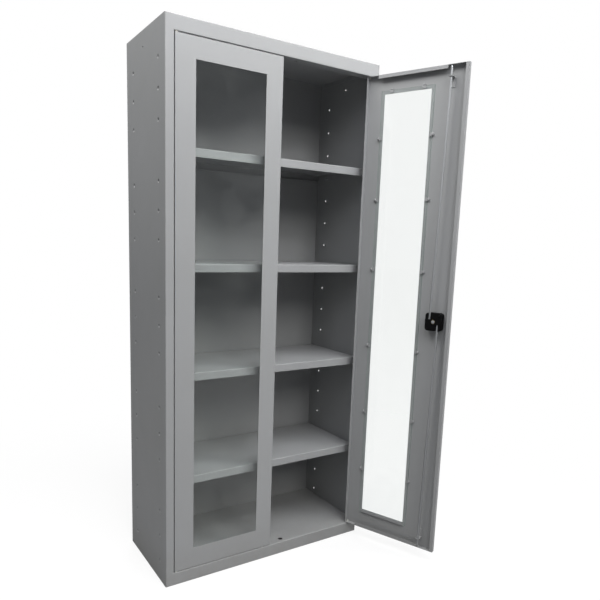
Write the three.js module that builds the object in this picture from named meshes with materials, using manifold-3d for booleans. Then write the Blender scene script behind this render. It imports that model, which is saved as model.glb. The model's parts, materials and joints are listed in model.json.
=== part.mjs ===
import * as THREE from 'three';
import { mergeVertices } from 'three/addons/utils/BufferGeometryUtils.js';
import Module from 'manifold-3d';

// Free-standing medical cabinet of folded sheet steel with two glazed doors.
// Millimetres, +Z up, +X to the right, doors towards -Y. The origin lies on the floor under the
// middle of the carcass. The left door is shut and the right door stands open.

const wasm = await Module();
wasm.setup();

// Carcass
const WIDTH = 900;
const DEPTH = 400;
const HEIGHT = 2000;
const CARCASS_SHEET = 1.2;
const CARCASS_BEND = 3;
const STILE_WIDTH = 31.5;
const STILE_DEPTH = 20;
const STILE_HEM = 14;
const REAR_FLANGE = 25;
const RAIL_HEIGHT = 50;
const RAIL_RETURN = 40;
const TOP_REAR_FLANGE = 40;
const FOOT_RETURN = 30;
const END_FLANGE = 20;
const STIFFENER_WIDTH = 80;
const BACK_SHEET = 1.2;
const WELD_GAP = 0.1;
const FIT_GAP = 0.3;

// How far a cutter runs past the face that it opens
const CUT_MARGIN = 1;

// Holes in the carcass sides
const SHELF_HOLE_RADIUS = 4.5;
const SHELF_HOLE_PITCH = 100;
const SHELF_HOLE_FIRST = 80;
const SHELF_HOLE_TOP_MARGIN = 115;
const SHELF_HOLE_FRONT_INSET = 65;
const SHELF_HOLE_REAR_INSET = 75;
const LINK_HOLE_RADIUS = 3;
const LINK_HOLE_DROP = 55;
const LINK_HOLE_FROM_REAR = 185;

// Shelves and the studs that carry them
const SHELF_COUNT = 4;
const SHELF_EVERY = 4;
const SHELF_SHEET = 1;
const SHELF_BEND = 2.5;
const SHELF_LIP = 30;
const SHELF_LIP_RETURN = 12;
const SHELF_END_FLANGE = 15;
const SHELF_FRONT_SETBACK = 45;
const SHELF_REAR_SETBACK = 6;
const SHELF_END_GAP = 2.8;
const STUD_RADIUS = 5;
const STUD_LENGTH = 11;
const STUD_CHAMFER = 1;

// Doors
const DOOR_GAP = 2.5;
const DOOR_SHEET = 1.2;
const DOOR_BEND = 2;
const DOOR_DEPTH = 19;
const DOOR_LIP = 13;
const LIP_LOCK_CLEARANCE = 80;
const LIP_HINGE_CLEARANCE = 50;
const HINGE_STILE = 74;
const PLAIN_MEETING_STILE = 69;
const LOCK_MEETING_STILE = 145;
const DOOR_TOP_RAIL = 72;
const DOOR_BOTTOM_RAIL = 79.5;
const RIGHT_DOOR_ANGLE = 111;

// Glass and the bent tabs that hold it. A tab's tip stops short of the window, and the tabs of a
// side stand at these levels above the window's middle.
const GLASS = 4;
const GLASS_LAP = 13;
const TAB_SHEET = 1.2;
const TAB_BEND = 1.8;
const TAB_WIDTH = 14;
const TAB_TIP_INSET = 3;
const TAB_LEVELS = [-685, -425, -135, 185, 465, 705];
const TOP_TAB_INSET = 30;
const LEDGE_LENGTH = 200;

// Pivot hinges, inset from the door's front face and from its edge by the same amount
const PIVOT_INSET = 6;
const PIVOT_RADIUS = 2.5;
const PIVOT_HEAD_RADIUS = 3.7;
const PIVOT_HEAD = 2;
const BUSH_RADIUS = 3.4;
const BUSH_COLLAR_RADIUS = 5.2;
const BUSH_LENGTH = 9;
const RUNNING_GAP = 0.12;

// Lock: a pinion on the handle's spindle drives two rods by racks
const LOCK_FROM_EDGE = 63;
const LOCK_WIDTH = 66;
const LOCK_HEIGHT = 70;
const LOCK_CORNER = 11;
const LOCK_COVER = 1.5;
const COVER_NOTCH_STEP = 10;
const COVER_NOTCH_SIDE = 2;
const GEAR_MODULE = 1.5;
const GEAR_TEETH = 16;
const GEAR_WIDTH = 7;
const GEAR_BACKLASH = 0.35;
const GEAR_HEAD_SHARE = 0.95;
const GEAR_FOOT_SHARE = 1.25;
const RACK_SINK_SHARE = 0.7;
const PRESSURE_ANGLE = THREE.MathUtils.degToRad(20);
const ROD_RADIUS = 4;
const ROD_TRAVEL = 19;
const ROD_DEPTH = 25;
const ROD_SETBACK = 7.5;
const ROD_TIP = 5;
const ROD_TIP_SHARE = 0.98;
const ROD_STRAIGHT = 85;
const ROD_HOLE_TOP_RADIUS = 7;
const ROD_HOLE_FLOOR_RADIUS = 9;
const GUIDE_INSET = 42.5;
const GUIDE_WIDTH = 16;
const GUIDE_FOOT = 36;
const GUIDE_SHEET = 2;
const GUIDE_BEND = 3.5;

// Handle on the outside of the right door
const SPINDLE = 8;
const SPINDLE_HOLE_RADIUS = 6.8;
const HOUSING_BORE_RADIUS = 6;
const ROSE_RADIUS = 21;
const ROSE = 2.7;
const HUB_RADIUS = 14;
const HUB_LENGTH = 19;
const WING_SPAN = 78;
const WING_HEIGHT = 15;
const WING_THICKNESS = 10;
const WING_ROUND = 2;
const WING_END_ROUND = 4.95;
const PLUG_RADIUS = 6;
const PLUG_LENGTH = 13;
const KEYWAY_WIDTH = 1.8;
const KEYWAY_HEIGHT = 7;
const KEYWAY_DEPTH = 6;
const SCREW_RADIUS = 2;
const SCREW_LENGTH = 12;
const SCREW_HEAD_RADIUS = 6.5;
const SCREW_CROWN_RADIUS = 3.9;
const SCREW_HEAD_EDGE = 1.2;
const SCREW_HEAD = 3;

// Slide bolts that hold the left door shut
const BOLT_FROM_EDGE = 35;
const BOLT_DEPTH = 10;
const BOLT_RADIUS = 4;
const BOLT_LENGTH = 90;
const BOLT_SETBACK = 2;
const BOLT_TRAVEL = 15;
const BOLT_HOLE_RADIUS = 6;
const BOLT_KNOB_RADIUS = 3.5;
const BOLT_KNOB_NECK_RADIUS = 2.8;
const BOLT_KNOB_NECK = 6.5;
const BOLT_KNOB_HEIGHT = 13;
const BOLT_KNOB_ROUND = 1;
const BOLT_KNOB_FROM_TIP = 50;
const BOLT_GUIDE_LENGTH = 62;
const BOLT_GUIDE_FROM_TIP = 12;
const BOLT_GUIDE_SHEET = 1.5;
const BOLT_GUIDE_FOOT = 10;

// Facets
const BEND_STEPS = 3;
const HOLE_SIDES = 8;
const ROUND_SIDES = 16;
const ROD_SIDES = 10;
const ROD_STEPS = 20;
const FLANK_STEPS = 2;
const MERGE_DISTANCE = 1e-4;

// Places worked out from the sizes above
const RIGHT = WIDTH / 2;
const FRONT = -DEPTH / 2;
const REAR = DEPTH / 2;
const SIDE_INNER = RIGHT - CARCASS_SHEET;
const PANEL_END = SIDE_INNER - WELD_GAP;
const OPENING_HALF = RIGHT - STILE_WIDTH;
const FLOOR = RAIL_HEIGHT;
const CEILING = HEIGHT - RAIL_HEIGHT;
const BACK_OUTER = REAR - CARCASS_SHEET - WELD_GAP;
const BACK_INNER = BACK_OUTER - BACK_SHEET;
const BACK_END = RIGHT - CARCASS_BEND - WELD_GAP;
const PANEL_REAR = BACK_INNER - WELD_GAP;
const FRONT_HOLES = FRONT + SHELF_HOLE_FRONT_INSET;
const REAR_HOLES = REAR - SHELF_HOLE_REAR_INSET;
const LINK_HOLE_Y = REAR - LINK_HOLE_FROM_REAR;

const DOOR_BOTTOM = FLOOR + DOOR_GAP;
const DOOR_TOP = CEILING - DOOR_GAP;
const DOOR_FREE = DOOR_GAP / 2;
const DOOR_HINGED = OPENING_HALF - DOOR_GAP;
const DOOR_BACK = FRONT + DOOR_DEPTH;
const SKIN_INNER = FRONT + DOOR_SHEET;
const WINDOW_HINGED = DOOR_HINGED - HINGE_STILE;
const WINDOW_BOTTOM = DOOR_BOTTOM + DOOR_BOTTOM_RAIL;
const WINDOW_TOP = DOOR_TOP - DOOR_TOP_RAIL;
const WINDOW_MIDDLE = (WINDOW_BOTTOM + WINDOW_TOP) / 2;
const GLASS_FRONT = SKIN_INNER + FIT_GAP;
const GLASS_BACK = GLASS_FRONT + GLASS;
const PIVOT_X = DOOR_HINGED - PIVOT_INSET;
const PIVOT_Y = FRONT + PIVOT_INSET;

const LOCK_X = DOOR_FREE + LOCK_FROM_EDGE;
const LOCK_Z = (DOOR_BOTTOM + DOOR_TOP) / 2;
const ROD_Y = FRONT + ROD_DEPTH;
const PITCH_RADIUS = (GEAR_MODULE * GEAR_TEETH) / 2;
const TOOTH_PITCH = Math.PI * GEAR_MODULE;
const ADDENDUM = GEAR_MODULE * GEAR_HEAD_SHARE;
const DEDENDUM = GEAR_MODULE * GEAR_FOOT_SHARE;
const RACK_OFFSET = PITCH_RADIUS + DEDENDUM + ROD_RADIUS * RACK_SINK_SHARE;
const RACK_BACK = RACK_OFFSET + ROD_RADIUS;
const HOUSING_FRONT = SKIN_INNER + FIT_GAP;
const HOUSING_BACK = ROD_Y + ROD_RADIUS;
const COVER_BACK = HOUSING_BACK + FIT_GAP + LOCK_COVER;
const PINION_END = COVER_BACK + FIT_GAP;
const ROSE_FRONT = FRONT - FIT_GAP - ROSE;
const HUB_BACK = ROSE_FRONT - FIT_GAP;
const HUB_FRONT = HUB_BACK - HUB_LENGTH;

const BOLT_X = -(DOOR_FREE + BOLT_FROM_EDGE);
const BOLT_Y = FRONT + BOLT_DEPTH;

const ALONG_X = new THREE.Vector3(1, 0, 0);
const ALONG_Y = new THREE.Vector3(0, 1, 0);
const ALONG_Z = new THREE.Vector3(0, 0, 1);

// Solids from closed geometry, and back again

function toSolid(geometry) {
  const bare = geometry.clone();
  bare.deleteAttribute('normal');
  bare.deleteAttribute('uv');
  const merged = mergeVertices(bare, MERGE_DISTANCE);
  const corners = merged.index.array;
  const triangles = [];
  for (let i = 0; i < corners.length; i += 3) {
    const [a, b, c] = [corners[i], corners[i + 1], corners[i + 2]];
    if (a !== b && b !== c && c !== a) {
      triangles.push(a, b, c);
    }
  }
  return new wasm.Manifold(new wasm.Mesh({
    numProp: 3,
    vertProperties: new Float32Array(merged.attributes.position.array),
    triVerts: new Uint32Array(triangles),
  }));
}

function toGeometry(solid) {
  const mesh = solid.getMesh();
  const indexed = new THREE.BufferGeometry();
  indexed.setAttribute('position', new THREE.BufferAttribute(mesh.vertProperties, 3));
  indexed.setIndex(new THREE.BufferAttribute(mesh.triVerts, 1));
  const geometry = indexed.toNonIndexed();
  geometry.computeVertexNormals();
  return geometry;
}

function join(first, ...others) {
  return others.reduce((whole, other) => whole.add(other), first);
}

function cut(block, ...tools) {
  return tools.reduce((rest, tool) => rest.subtract(tool), block);
}

// Mirror image across the cabinet's middle. Each triangle is turned round to face outwards again.
function mirrored(solid) {
  const flipped = toGeometry(solid).scale(-1, 1, 1);
  const order = [];
  for (let i = 0; i < flipped.attributes.position.count; i += 3) {
    order.push(i, i + 2, i + 1);
  }
  flipped.setIndex(order);
  return toSolid(flipped.toNonIndexed());
}

// Outlines

function arc(x, y, radius, from, to, steps) {
  const points = [];
  for (let i = 0; i <= steps; i += 1) {
    const angle = from + ((to - from) * i) / steps;
    points.push(new THREE.Vector2(x + radius * Math.cos(angle), y + radius * Math.sin(angle)));
  }
  return points;
}

function outline(pairs) {
  return new THREE.Shape(pairs.map(([x, y]) => new THREE.Vector2(x, y)));
}

function rectangle(left, right, bottom, top) {
  return outline([[left, bottom], [right, bottom], [right, top], [left, top]]);
}

function disc(x, y, radius, sides) {
  return new THREE.Shape(arc(x, y, radius, 0, 2 * Math.PI, sides).slice(0, -1));
}

function roundedRectangle(left, right, bottom, top, radius) {
  const quarter = Math.PI / 2;
  const corner = (x, y, turn) => arc(x, y, radius, turn * quarter, (turn + 1) * quarter, BEND_STEPS);
  return new THREE.Shape([
    ...corner(right - radius, top - radius, 0),
    ...corner(left + radius, top - radius, 1),
    ...corner(left + radius, bottom + radius, 2),
    ...corner(right - radius, bottom + radius, 3),
  ]);
}

// Section of a folded sheet. The corners run along its outer face and turn left at every bend.
function foldedSheet(pairs, sheet, bend) {
  const corners = pairs.map(([x, y]) => new THREE.Vector2(x, y));
  const headings = corners.slice(1).map((corner, i) => corner.clone().sub(corners[i]).normalize());
  const outer = [];
  const inner = [];
  corners.forEach((corner, i) => {
    const before = headings[i - 1];
    const after = headings[i];
    if (before && after) {
      const x = corner.x + bend * (after.x - before.x);
      const y = corner.y + bend * (after.y - before.y);
      const from = Math.atan2(-after.y, -after.x);
      const to = from + Math.PI / 2;
      outer.push(...arc(x, y, bend, from, to, BEND_STEPS));
      inner.push(...arc(x, y, bend - sheet, from, to, BEND_STEPS));
    } else {
      const heading = before || after;
      outer.push(corner);
      inner.push(new THREE.Vector2(corner.x - sheet * heading.y, corner.y + sheet * heading.x));
    }
  });
  return new THREE.Shape([...outer, ...inner.reverse()]);
}

// Outline across a tray: a face with rounded edges, and two walls that end at the open side.
function trayOutline(low, high, face, open, bend) {
  const inward = Math.sign(open - face);
  const quarter = (inward * Math.PI) / 2;
  const level = face + inward * bend;
  return [
    new THREE.Vector2(low, open),
    ...arc(low + bend, level, bend, Math.PI, Math.PI + quarter, BEND_STEPS),
    ...arc(high - bend, level, bend, -quarter, 0, BEND_STEPS),
    new THREE.Vector2(high, open),
  ];
}

// Extrusions of outlines drawn in (x, y), (y, z) and (x, z)

function extrude(shape, depth) {
  return new THREE.ExtrudeGeometry(shape, { depth, bevelEnabled: false });
}

function alongZ(shape, low, high) {
  return toSolid(extrude(shape, high - low).translate(0, 0, low));
}

function alongX(shape, low, high) {
  const turn = new THREE.Matrix4().makeBasis(ALONG_Y, ALONG_Z, ALONG_X);
  return toSolid(extrude(shape, high - low).applyMatrix4(turn).translate(low, 0, 0));
}

function alongY(shape, low, high) {
  const turn = new THREE.Matrix4().makeBasis(ALONG_X, ALONG_Z, ALONG_Y.clone().negate());
  return toSolid(extrude(shape, high - low).applyMatrix4(turn).translate(0, high, 0));
}

// Turned solid on the Y axis from pairs of radius and height, listed from the low end to the high end.
function turned(pairs, sides = ROUND_SIDES) {
  return new THREE.LatheGeometry(pairs.map(([x, y]) => new THREE.Vector2(x, y)), sides);
}

// Cutter for an upright hole that a round bar of the given radius just fills.
function holeUp(x, y, radius, low, high, sides = HOLE_SIDES) {
  return alongZ(disc(x, y, radius / Math.cos(Math.PI / sides), sides), low, high);
}

// Finishes

function finish(color, roughness, metalness) {
  return new THREE.MeshStandardMaterial({ color, roughness, metalness });
}

const paint = () => finish('#a9abb0', 0.45, 0.1);
const zinc = () => finish('#b9bcc0', 0.35, 0.9);
const blackPlastic = () => finish('#151516', 0.5, 0);
const brass = () => finish('#b39a62', 0.35, 0.9);
const chrome = () => finish('#c8cacc', 0.2, 1);
const nylon = () => finish('#d9d8d2', 0.55, 0);

function glass() {
  const pane = finish('#dfe8e6', 0.05, 0);
  pane.transparent = true;
  pane.opacity = 0.25;
  return pane;
}

function place(group, name, solid, material) {
  const mesh = new THREE.Mesh(toGeometry(solid), material);
  mesh.name = name;
  group.add(mesh);
}

// Carcass: two sides, top, floor, back and the channel under the floor

function shelfHoleHeights() {
  const heights = [];
  for (let z = SHELF_HOLE_FIRST; z <= HEIGHT - SHELF_HOLE_TOP_MARGIN; z += SHELF_HOLE_PITCH) {
    heights.push(z);
  }
  return heights;
}

// Block with the carcass's outer form, whose front edges are rounded like the rails' bends.
function carcassEnvelope() {
  const front = FRONT;
  const bend = CARCASS_BEND;
  const quarter = Math.PI / 2;
  return alongX(new THREE.Shape([
    new THREE.Vector2(REAR, 0),
    new THREE.Vector2(REAR, HEIGHT),
    ...arc(front + bend, HEIGHT - bend, bend, quarter, 2 * quarter, BEND_STEPS),
    ...arc(front + bend, bend, bend, 2 * quarter, 3 * quarter, BEND_STEPS),
  ]), -RIGHT, RIGHT);
}

function leftSide() {
  const section = foldedSheet([
    [-RIGHT + REAR_FLANGE, REAR],
    [-RIGHT, REAR],
    [-RIGHT, FRONT],
    [-OPENING_HALF, FRONT],
    [-OPENING_HALF, FRONT + STILE_DEPTH],
    [-OPENING_HALF - STILE_HEM, FRONT + STILE_DEPTH],
  ], CARCASS_SHEET, CARCASS_BEND);
  const trim = rectangle(-SIDE_INNER, -OPENING_HALF + CARCASS_SHEET, FRONT + CARCASS_SHEET, BACK_OUTER);
  const trimHeight = CARCASS_SHEET + WELD_GAP;
  const [outside, inside] = [-RIGHT - CUT_MARGIN, -SIDE_INNER + CUT_MARGIN];
  const through = (y, z, radius) => alongX(disc(y, z, radius, HOLE_SIDES), outside, inside);
  const holes = [through(LINK_HOLE_Y, HEIGHT - LINK_HOLE_DROP, LINK_HOLE_RADIUS)];
  for (const z of shelfHoleHeights()) {
    holes.push(through(FRONT_HOLES, z, SHELF_HOLE_RADIUS));
    holes.push(through(REAR_HOLES, z, SHELF_HOLE_RADIUS));
  }
  return cut(
    alongZ(section, 0, HEIGHT).intersect(carcassEnvelope()),
    alongZ(trim, HEIGHT - trimHeight, HEIGHT + CUT_MARGIN),
    alongZ(trim, -CUT_MARGIN, trimHeight),
    ...holes,
  );
}

// Trims a panel that runs between the sides so that its front rail fits between the stiles.
function betweenStiles(panel) {
  const edge = OPENING_HALF - WELD_GAP;
  const behindStile = FRONT + CARCASS_SHEET + WELD_GAP;
  const corner = (left, right) => alongZ(
    rectangle(left, right, FRONT - CUT_MARGIN, behindStile),
    -CUT_MARGIN,
    HEIGHT + CUT_MARGIN,
  );
  return cut(panel, corner(edge, WIDTH), corner(-WIDTH, -edge));
}

// Cuts the returns of a rail back to the stiles, where they would run into the folds of the sides.
function clearOfStiles(panel, low, high) {
  const reach = FRONT + Math.max(STILE_DEPTH + WELD_GAP, RAIL_RETURN + CUT_MARGIN);
  const corner = (left, right) => alongZ(rectangle(left, right, FRONT - CUT_MARGIN, reach), low, high);
  const edge = OPENING_HALF - WELD_GAP;
  return cut(panel, corner(edge, WIDTH), corner(-WIDTH, -edge));
}

function endFlanges(low, high) {
  const front = FRONT + STILE_DEPTH + WELD_GAP + CARCASS_BEND;
  const flange = (a, b) => alongZ(rectangle(a, b, front, PANEL_REAR - CARCASS_BEND), low, high);
  const inner = PANEL_END - CARCASS_SHEET;
  return [flange(inner, PANEL_END), flange(-PANEL_END, -inner)];
}

function topPanel() {
  const section = foldedSheet([
    [PANEL_REAR, HEIGHT - TOP_REAR_FLANGE],
    [PANEL_REAR, HEIGHT],
    [FRONT, HEIGHT],
    [FRONT, CEILING],
    [FRONT + RAIL_RETURN, CEILING],
  ], CARCASS_SHEET, CARCASS_BEND);
  const sheetUnder = HEIGHT - CARCASS_SHEET;
  const trimmed = clearOfStiles(
    betweenStiles(alongX(section, -PANEL_END, PANEL_END)),
    CEILING - CUT_MARGIN,
    sheetUnder - WELD_GAP,
  );
  const flanged = join(trimmed, ...endFlanges(HEIGHT - END_FLANGE, sheetUnder + CARCASS_SHEET / 2));
  const [low, high] = [CEILING - CUT_MARGIN, CEILING + CARCASS_SHEET + CUT_MARGIN];
  return cut(
    flanged,
    holeUp(PIVOT_X, PIVOT_Y, PIVOT_RADIUS + RUNNING_GAP, low, high),
    holeUp(-PIVOT_X, PIVOT_Y, PIVOT_RADIUS + RUNNING_GAP, low, high),
    holeUp(LOCK_X, ROD_Y, ROD_HOLE_TOP_RADIUS, low, high),
    holeUp(BOLT_X, BOLT_Y, BOLT_HOLE_RADIUS, low, high),
  );
}

function floorPan() {
  const section = foldedSheet([
    [PANEL_REAR - FOOT_RETURN, 0],
    [PANEL_REAR, 0],
    [PANEL_REAR, FLOOR],
    [FRONT, FLOOR],
    [FRONT, 0],
    [FRONT + FOOT_RETURN, 0],
  ], CARCASS_SHEET, CARCASS_BEND);
  const sheetUnder = FLOOR - CARCASS_SHEET;
  const pan = alongX(section, -PANEL_END, PANEL_END);
  const trimmed = clearOfStiles(pan, -CUT_MARGIN, FLOOR + CUT_MARGIN);
  const flanged = join(trimmed, ...endFlanges(FLOOR - END_FLANGE, sheetUnder + CARCASS_SHEET / 2));
  const [low, high] = [sheetUnder - CUT_MARGIN, FLOOR + CUT_MARGIN];
  return cut(
    flanged,
    holeUp(PIVOT_X, PIVOT_Y, PIVOT_RADIUS + RUNNING_GAP, low, high),
    holeUp(-PIVOT_X, PIVOT_Y, PIVOT_RADIUS + RUNNING_GAP, low, high),
    holeUp(LOCK_X, ROD_Y, ROD_HOLE_FLOOR_RADIUS, low, high),
    holeUp(BOLT_X, BOLT_Y, BOLT_HOLE_RADIUS, low, high),
  );
}

function backPanel() {
  return alongZ(rectangle(-BACK_END, BACK_END, BACK_INNER, BACK_OUTER), WELD_GAP, HEIGHT - WELD_GAP);
}

// Channel that stands on the ground and carries the middle of the floor.
function floorStiffener() {
  const half = STIFFENER_WIDTH / 2;
  const top = FLOOR - CARCASS_SHEET - WELD_GAP;
  const corners = [[-half, top], [-half, 0], [half, 0], [half, top]];
  const section = foldedSheet(corners, CARCASS_SHEET, CARCASS_BEND);
  const end = PANEL_END - CARCASS_SHEET - WELD_GAP;
  return alongX(section, -end, end);
}

// Shelves: trays with the face up, deep lips at front and rear and short flanges at the ends

function shelfBlock(inset, face, open, bend) {
  const half = SIDE_INNER - SHELF_END_GAP - inset;
  const front = FRONT + SHELF_FRONT_SETBACK + inset;
  const rear = PANEL_REAR - CARCASS_SHEET - SHELF_REAR_SETBACK - inset;
  const across = new THREE.Shape(trayOutline(-half, half, face, open, bend));
  const along = new THREE.Shape(trayOutline(front, rear, face, open, bend));
  return alongY(across, front, rear).intersect(alongX(along, -half, half));
}

function shelf(studHeight) {
  const flangeFoot = studHeight + STUD_RADIUS + FIT_GAP;
  const face = flangeFoot + SHELF_END_FLANGE;
  const foot = face - SHELF_LIP;
  const front = FRONT + SHELF_FRONT_SETBACK;
  const rear = PANEL_REAR - CARCASS_SHEET - SHELF_REAR_SETBACK;
  const inner = SIDE_INNER - SHELF_END_GAP - SHELF_SHEET;
  const hollow = shelfBlock(SHELF_SHEET, face - SHELF_SHEET, foot + SHELF_SHEET, SHELF_BEND - SHELF_SHEET);
  const mouth = alongZ(
    rectangle(-inner, inner, front + SHELF_LIP_RETURN, rear - SHELF_LIP_RETURN),
    foot - CUT_MARGIN,
    foot + SHELF_SHEET + CUT_MARGIN,
  );
  const lipDepth = SHELF_BEND + SHELF_SHEET;
  const under = (shape) => alongZ(shape, foot - CUT_MARGIN, flangeFoot);
  const ends = under(rectangle(-WIDTH, WIDTH, front + lipDepth, rear - lipDepth));
  const middle = under(rectangle(-inner + SHELF_BEND, inner - SHELF_BEND, -DEPTH, DEPTH));
  return cut(shelfBlock(0, face, foot, SHELF_BEND), hollow, mouth, cut(ends, middle));
}

// Stud pushed into a side hole from inside, with a shank that ends flush with the outside.
function shelfStud(y, z) {
  const seat = RIGHT - SIDE_INNER;
  const shank = SHELF_HOLE_RADIUS * Math.cos(Math.PI / HOLE_SIDES) - FIT_GAP;
  const end = seat + FIT_GAP + STUD_LENGTH;
  return toSolid(turned([
    [0, WELD_GAP],
    [shank, WELD_GAP],
    [shank, seat + FIT_GAP],
    [STUD_RADIUS, seat + FIT_GAP],
    [STUD_RADIUS, end - STUD_CHAMFER],
    [STUD_RADIUS - STUD_CHAMFER, end],
    [0, end],
  ], ROD_SIDES).rotateZ(-Math.PI / 2).translate(-RIGHT, y, z));
}

// Doors: trays with the face to the front, a window, and bent tabs behind it.
// Everything is drawn shut and on the right; a left door is mirrored.

function doorBlock(inset, face, open, bend) {
  const [left, right] = [DOOR_FREE + inset, DOOR_HINGED - inset];
  const [bottom, top] = [DOOR_BOTTOM + inset, DOOR_TOP - inset];
  const across = new THREE.Shape(trayOutline(left, right, face, open, bend));
  const upright = outline(trayOutline(bottom, top, face, open, bend).map((point) => [point.y, point.x]));
  return alongZ(across, bottom, top).intersect(alongX(upright, left, right));
}

// Mouth of the tray. A lip stays along the free edge and along the middle of the top and bottom.
function doorMouth() {
  const free = DOOR_FREE + DOOR_LIP;
  const hinged = DOOR_HINGED - DOOR_SHEET;
  const [lipFrom, lipTo] = [DOOR_FREE + LIP_LOCK_CLEARANCE, DOOR_HINGED - LIP_HINGE_CLEARANCE];
  const [low, high] = [DOOR_BOTTOM + DOOR_SHEET, DOOR_TOP - DOOR_SHEET];
  const [lipLow, lipHigh] = [DOOR_BOTTOM + DOOR_LIP, DOOR_TOP - DOOR_LIP];
  const mouth = outline([
    [free, low], [lipFrom, low], [lipFrom, lipLow], [lipTo, lipLow], [lipTo, low], [hinged, low],
    [hinged, high], [lipTo, high], [lipTo, lipHigh], [lipFrom, lipHigh], [lipFrom, high], [free, high],
  ]);
  return alongY(mouth, DOOR_BACK - DOOR_SHEET - CUT_MARGIN, DOOR_BACK + CUT_MARGIN);
}

// Hooked tab in (distance outwards from the window's edge, y). Its foot is sunk in the door's skin.
function tabProfile() {
  const outer = GLASS_LAP + FIT_GAP + TAB_SHEET;
  const hook = GLASS_BACK + FIT_GAP + TAB_SHEET;
  const corners = [[outer, FRONT + DOOR_SHEET / 2], [outer, hook], [TAB_TIP_INSET, hook]];
  return foldedSheet(corners, TAB_SHEET, TAB_BEND).getPoints();
}

function sideTab(edge, outward, z) {
  const profile = outline(tabProfile().map((point) => [edge + outward * point.x, point.y]));
  return alongZ(profile, z - TAB_WIDTH / 2, z + TAB_WIDTH / 2);
}

function levelTab(edge, outward, x, width) {
  const profile = outline(tabProfile().map((point) => [point.y, edge + outward * point.x]));
  return alongX(profile, x - width / 2, x + width / 2);
}

function glassTabs(windowFree) {
  const tabs = [];
  for (const level of TAB_LEVELS) {
    tabs.push(sideTab(windowFree, -1, WINDOW_MIDDLE + level));
    tabs.push(sideTab(WINDOW_HINGED, 1, WINDOW_MIDDLE + level));
  }
  tabs.push(levelTab(WINDOW_TOP, 1, windowFree + TOP_TAB_INSET, TAB_WIDTH));
  tabs.push(levelTab(WINDOW_TOP, 1, WINDOW_HINGED - TOP_TAB_INSET, TAB_WIDTH));
  tabs.push(levelTab(WINDOW_BOTTOM, -1, (windowFree + WINDOW_HINGED) / 2, LEDGE_LENGTH));
  return tabs;
}

// Cutters for a hole through the door's top flange and one through its bottom flange.
function flangeHoles(x, y, radius) {
  const hole = (low, high) => holeUp(x, y, radius, low - CUT_MARGIN, high + CUT_MARGIN, ROUND_SIDES);
  return [hole(DOOR_BOTTOM, DOOR_BOTTOM + DOOR_SHEET), hole(DOOR_TOP - DOOR_SHEET, DOOR_TOP)];
}

function door(windowFree) {
  const hollow = doorBlock(DOOR_SHEET, SKIN_INNER, DOOR_BACK - DOOR_SHEET, DOOR_BEND - DOOR_SHEET);
  const pane = rectangle(windowFree, WINDOW_HINGED, WINDOW_BOTTOM, WINDOW_TOP);
  const tray = cut(
    doorBlock(0, FRONT, DOOR_BACK, DOOR_BEND),
    hollow,
    doorMouth(),
    alongY(pane, FRONT - CUT_MARGIN, SKIN_INNER + CUT_MARGIN),
    ...flangeHoles(PIVOT_X, PIVOT_Y, BUSH_RADIUS + RUNNING_GAP),
  );
  return join(tray, ...glassTabs(windowFree));
}

function windowPane(windowFree) {
  const lap = GLASS_LAP;
  const pane = rectangle(windowFree - lap, WINDOW_HINGED + lap, WINDOW_BOTTOM - lap, WINDOW_TOP + lap);
  return alongY(pane, GLASS_FRONT, GLASS_BACK);
}

// Pivot pin from under a head in the rail, through the door gap and into the door's bush.
function pivotPin(sign) {
  const sheet = CARCASS_SHEET + FIT_GAP;
  const reach = DOOR_GAP + DOOR_SHEET + BUSH_LENGTH;
  const pin = turned([
    [0, -sheet - PIVOT_HEAD],
    [PIVOT_HEAD_RADIUS, -sheet - PIVOT_HEAD],
    [PIVOT_HEAD_RADIUS, -sheet],
    [PIVOT_RADIUS, -sheet],
    [PIVOT_RADIUS, reach - PIVOT_RADIUS / 2],
    [PIVOT_RADIUS / 2, reach],
    [0, reach],
  ]);
  const rail = sign > 0 ? FLOOR : CEILING;
  return toSolid(pin.rotateX((sign * Math.PI) / 2).translate(PIVOT_X, PIVOT_Y, rail));
}

// Collared bush in the door's flange. Its collar fills the gap between the door and the rail.
function pivotBush(sign) {
  const bore = (PIVOT_RADIUS + RUNNING_GAP) / Math.cos(Math.PI / ROUND_SIDES);
  const [collarStart, collarEnd] = [FIT_GAP, DOOR_GAP - FIT_GAP];
  const end = DOOR_GAP + DOOR_SHEET + BUSH_LENGTH - PIVOT_RADIUS;
  const bush = turned([
    [bore, collarStart],
    [BUSH_COLLAR_RADIUS, collarStart],
    [BUSH_COLLAR_RADIUS, collarEnd],
    [BUSH_RADIUS, collarEnd],
    [BUSH_RADIUS, end],
    [bore, end],
    [bore, collarStart],
  ]);
  const rail = sign > 0 ? FLOOR : CEILING;
  return toSolid(bush.rotateX((sign * Math.PI) / 2).translate(PIVOT_X, PIVOT_Y, rail));
}

// Lock on the inside of the right door, drawn shut. Offsets run from the spindle's axis.

function lockRectangle(left, right, bottom, top) {
  return rectangle(LOCK_X + left, LOCK_X + right, LOCK_Z + bottom, LOCK_Z + top);
}

function lockOutline() {
  const [w, h] = [LOCK_WIDTH / 2, LOCK_HEIGHT / 2];
  return roundedRectangle(LOCK_X - w, LOCK_X + w, LOCK_Z - h, LOCK_Z + h, LOCK_CORNER);
}

function spindleSquare(size) {
  return lockRectangle(-size / 2, size / 2, -size / 2, size / 2);
}

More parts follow.
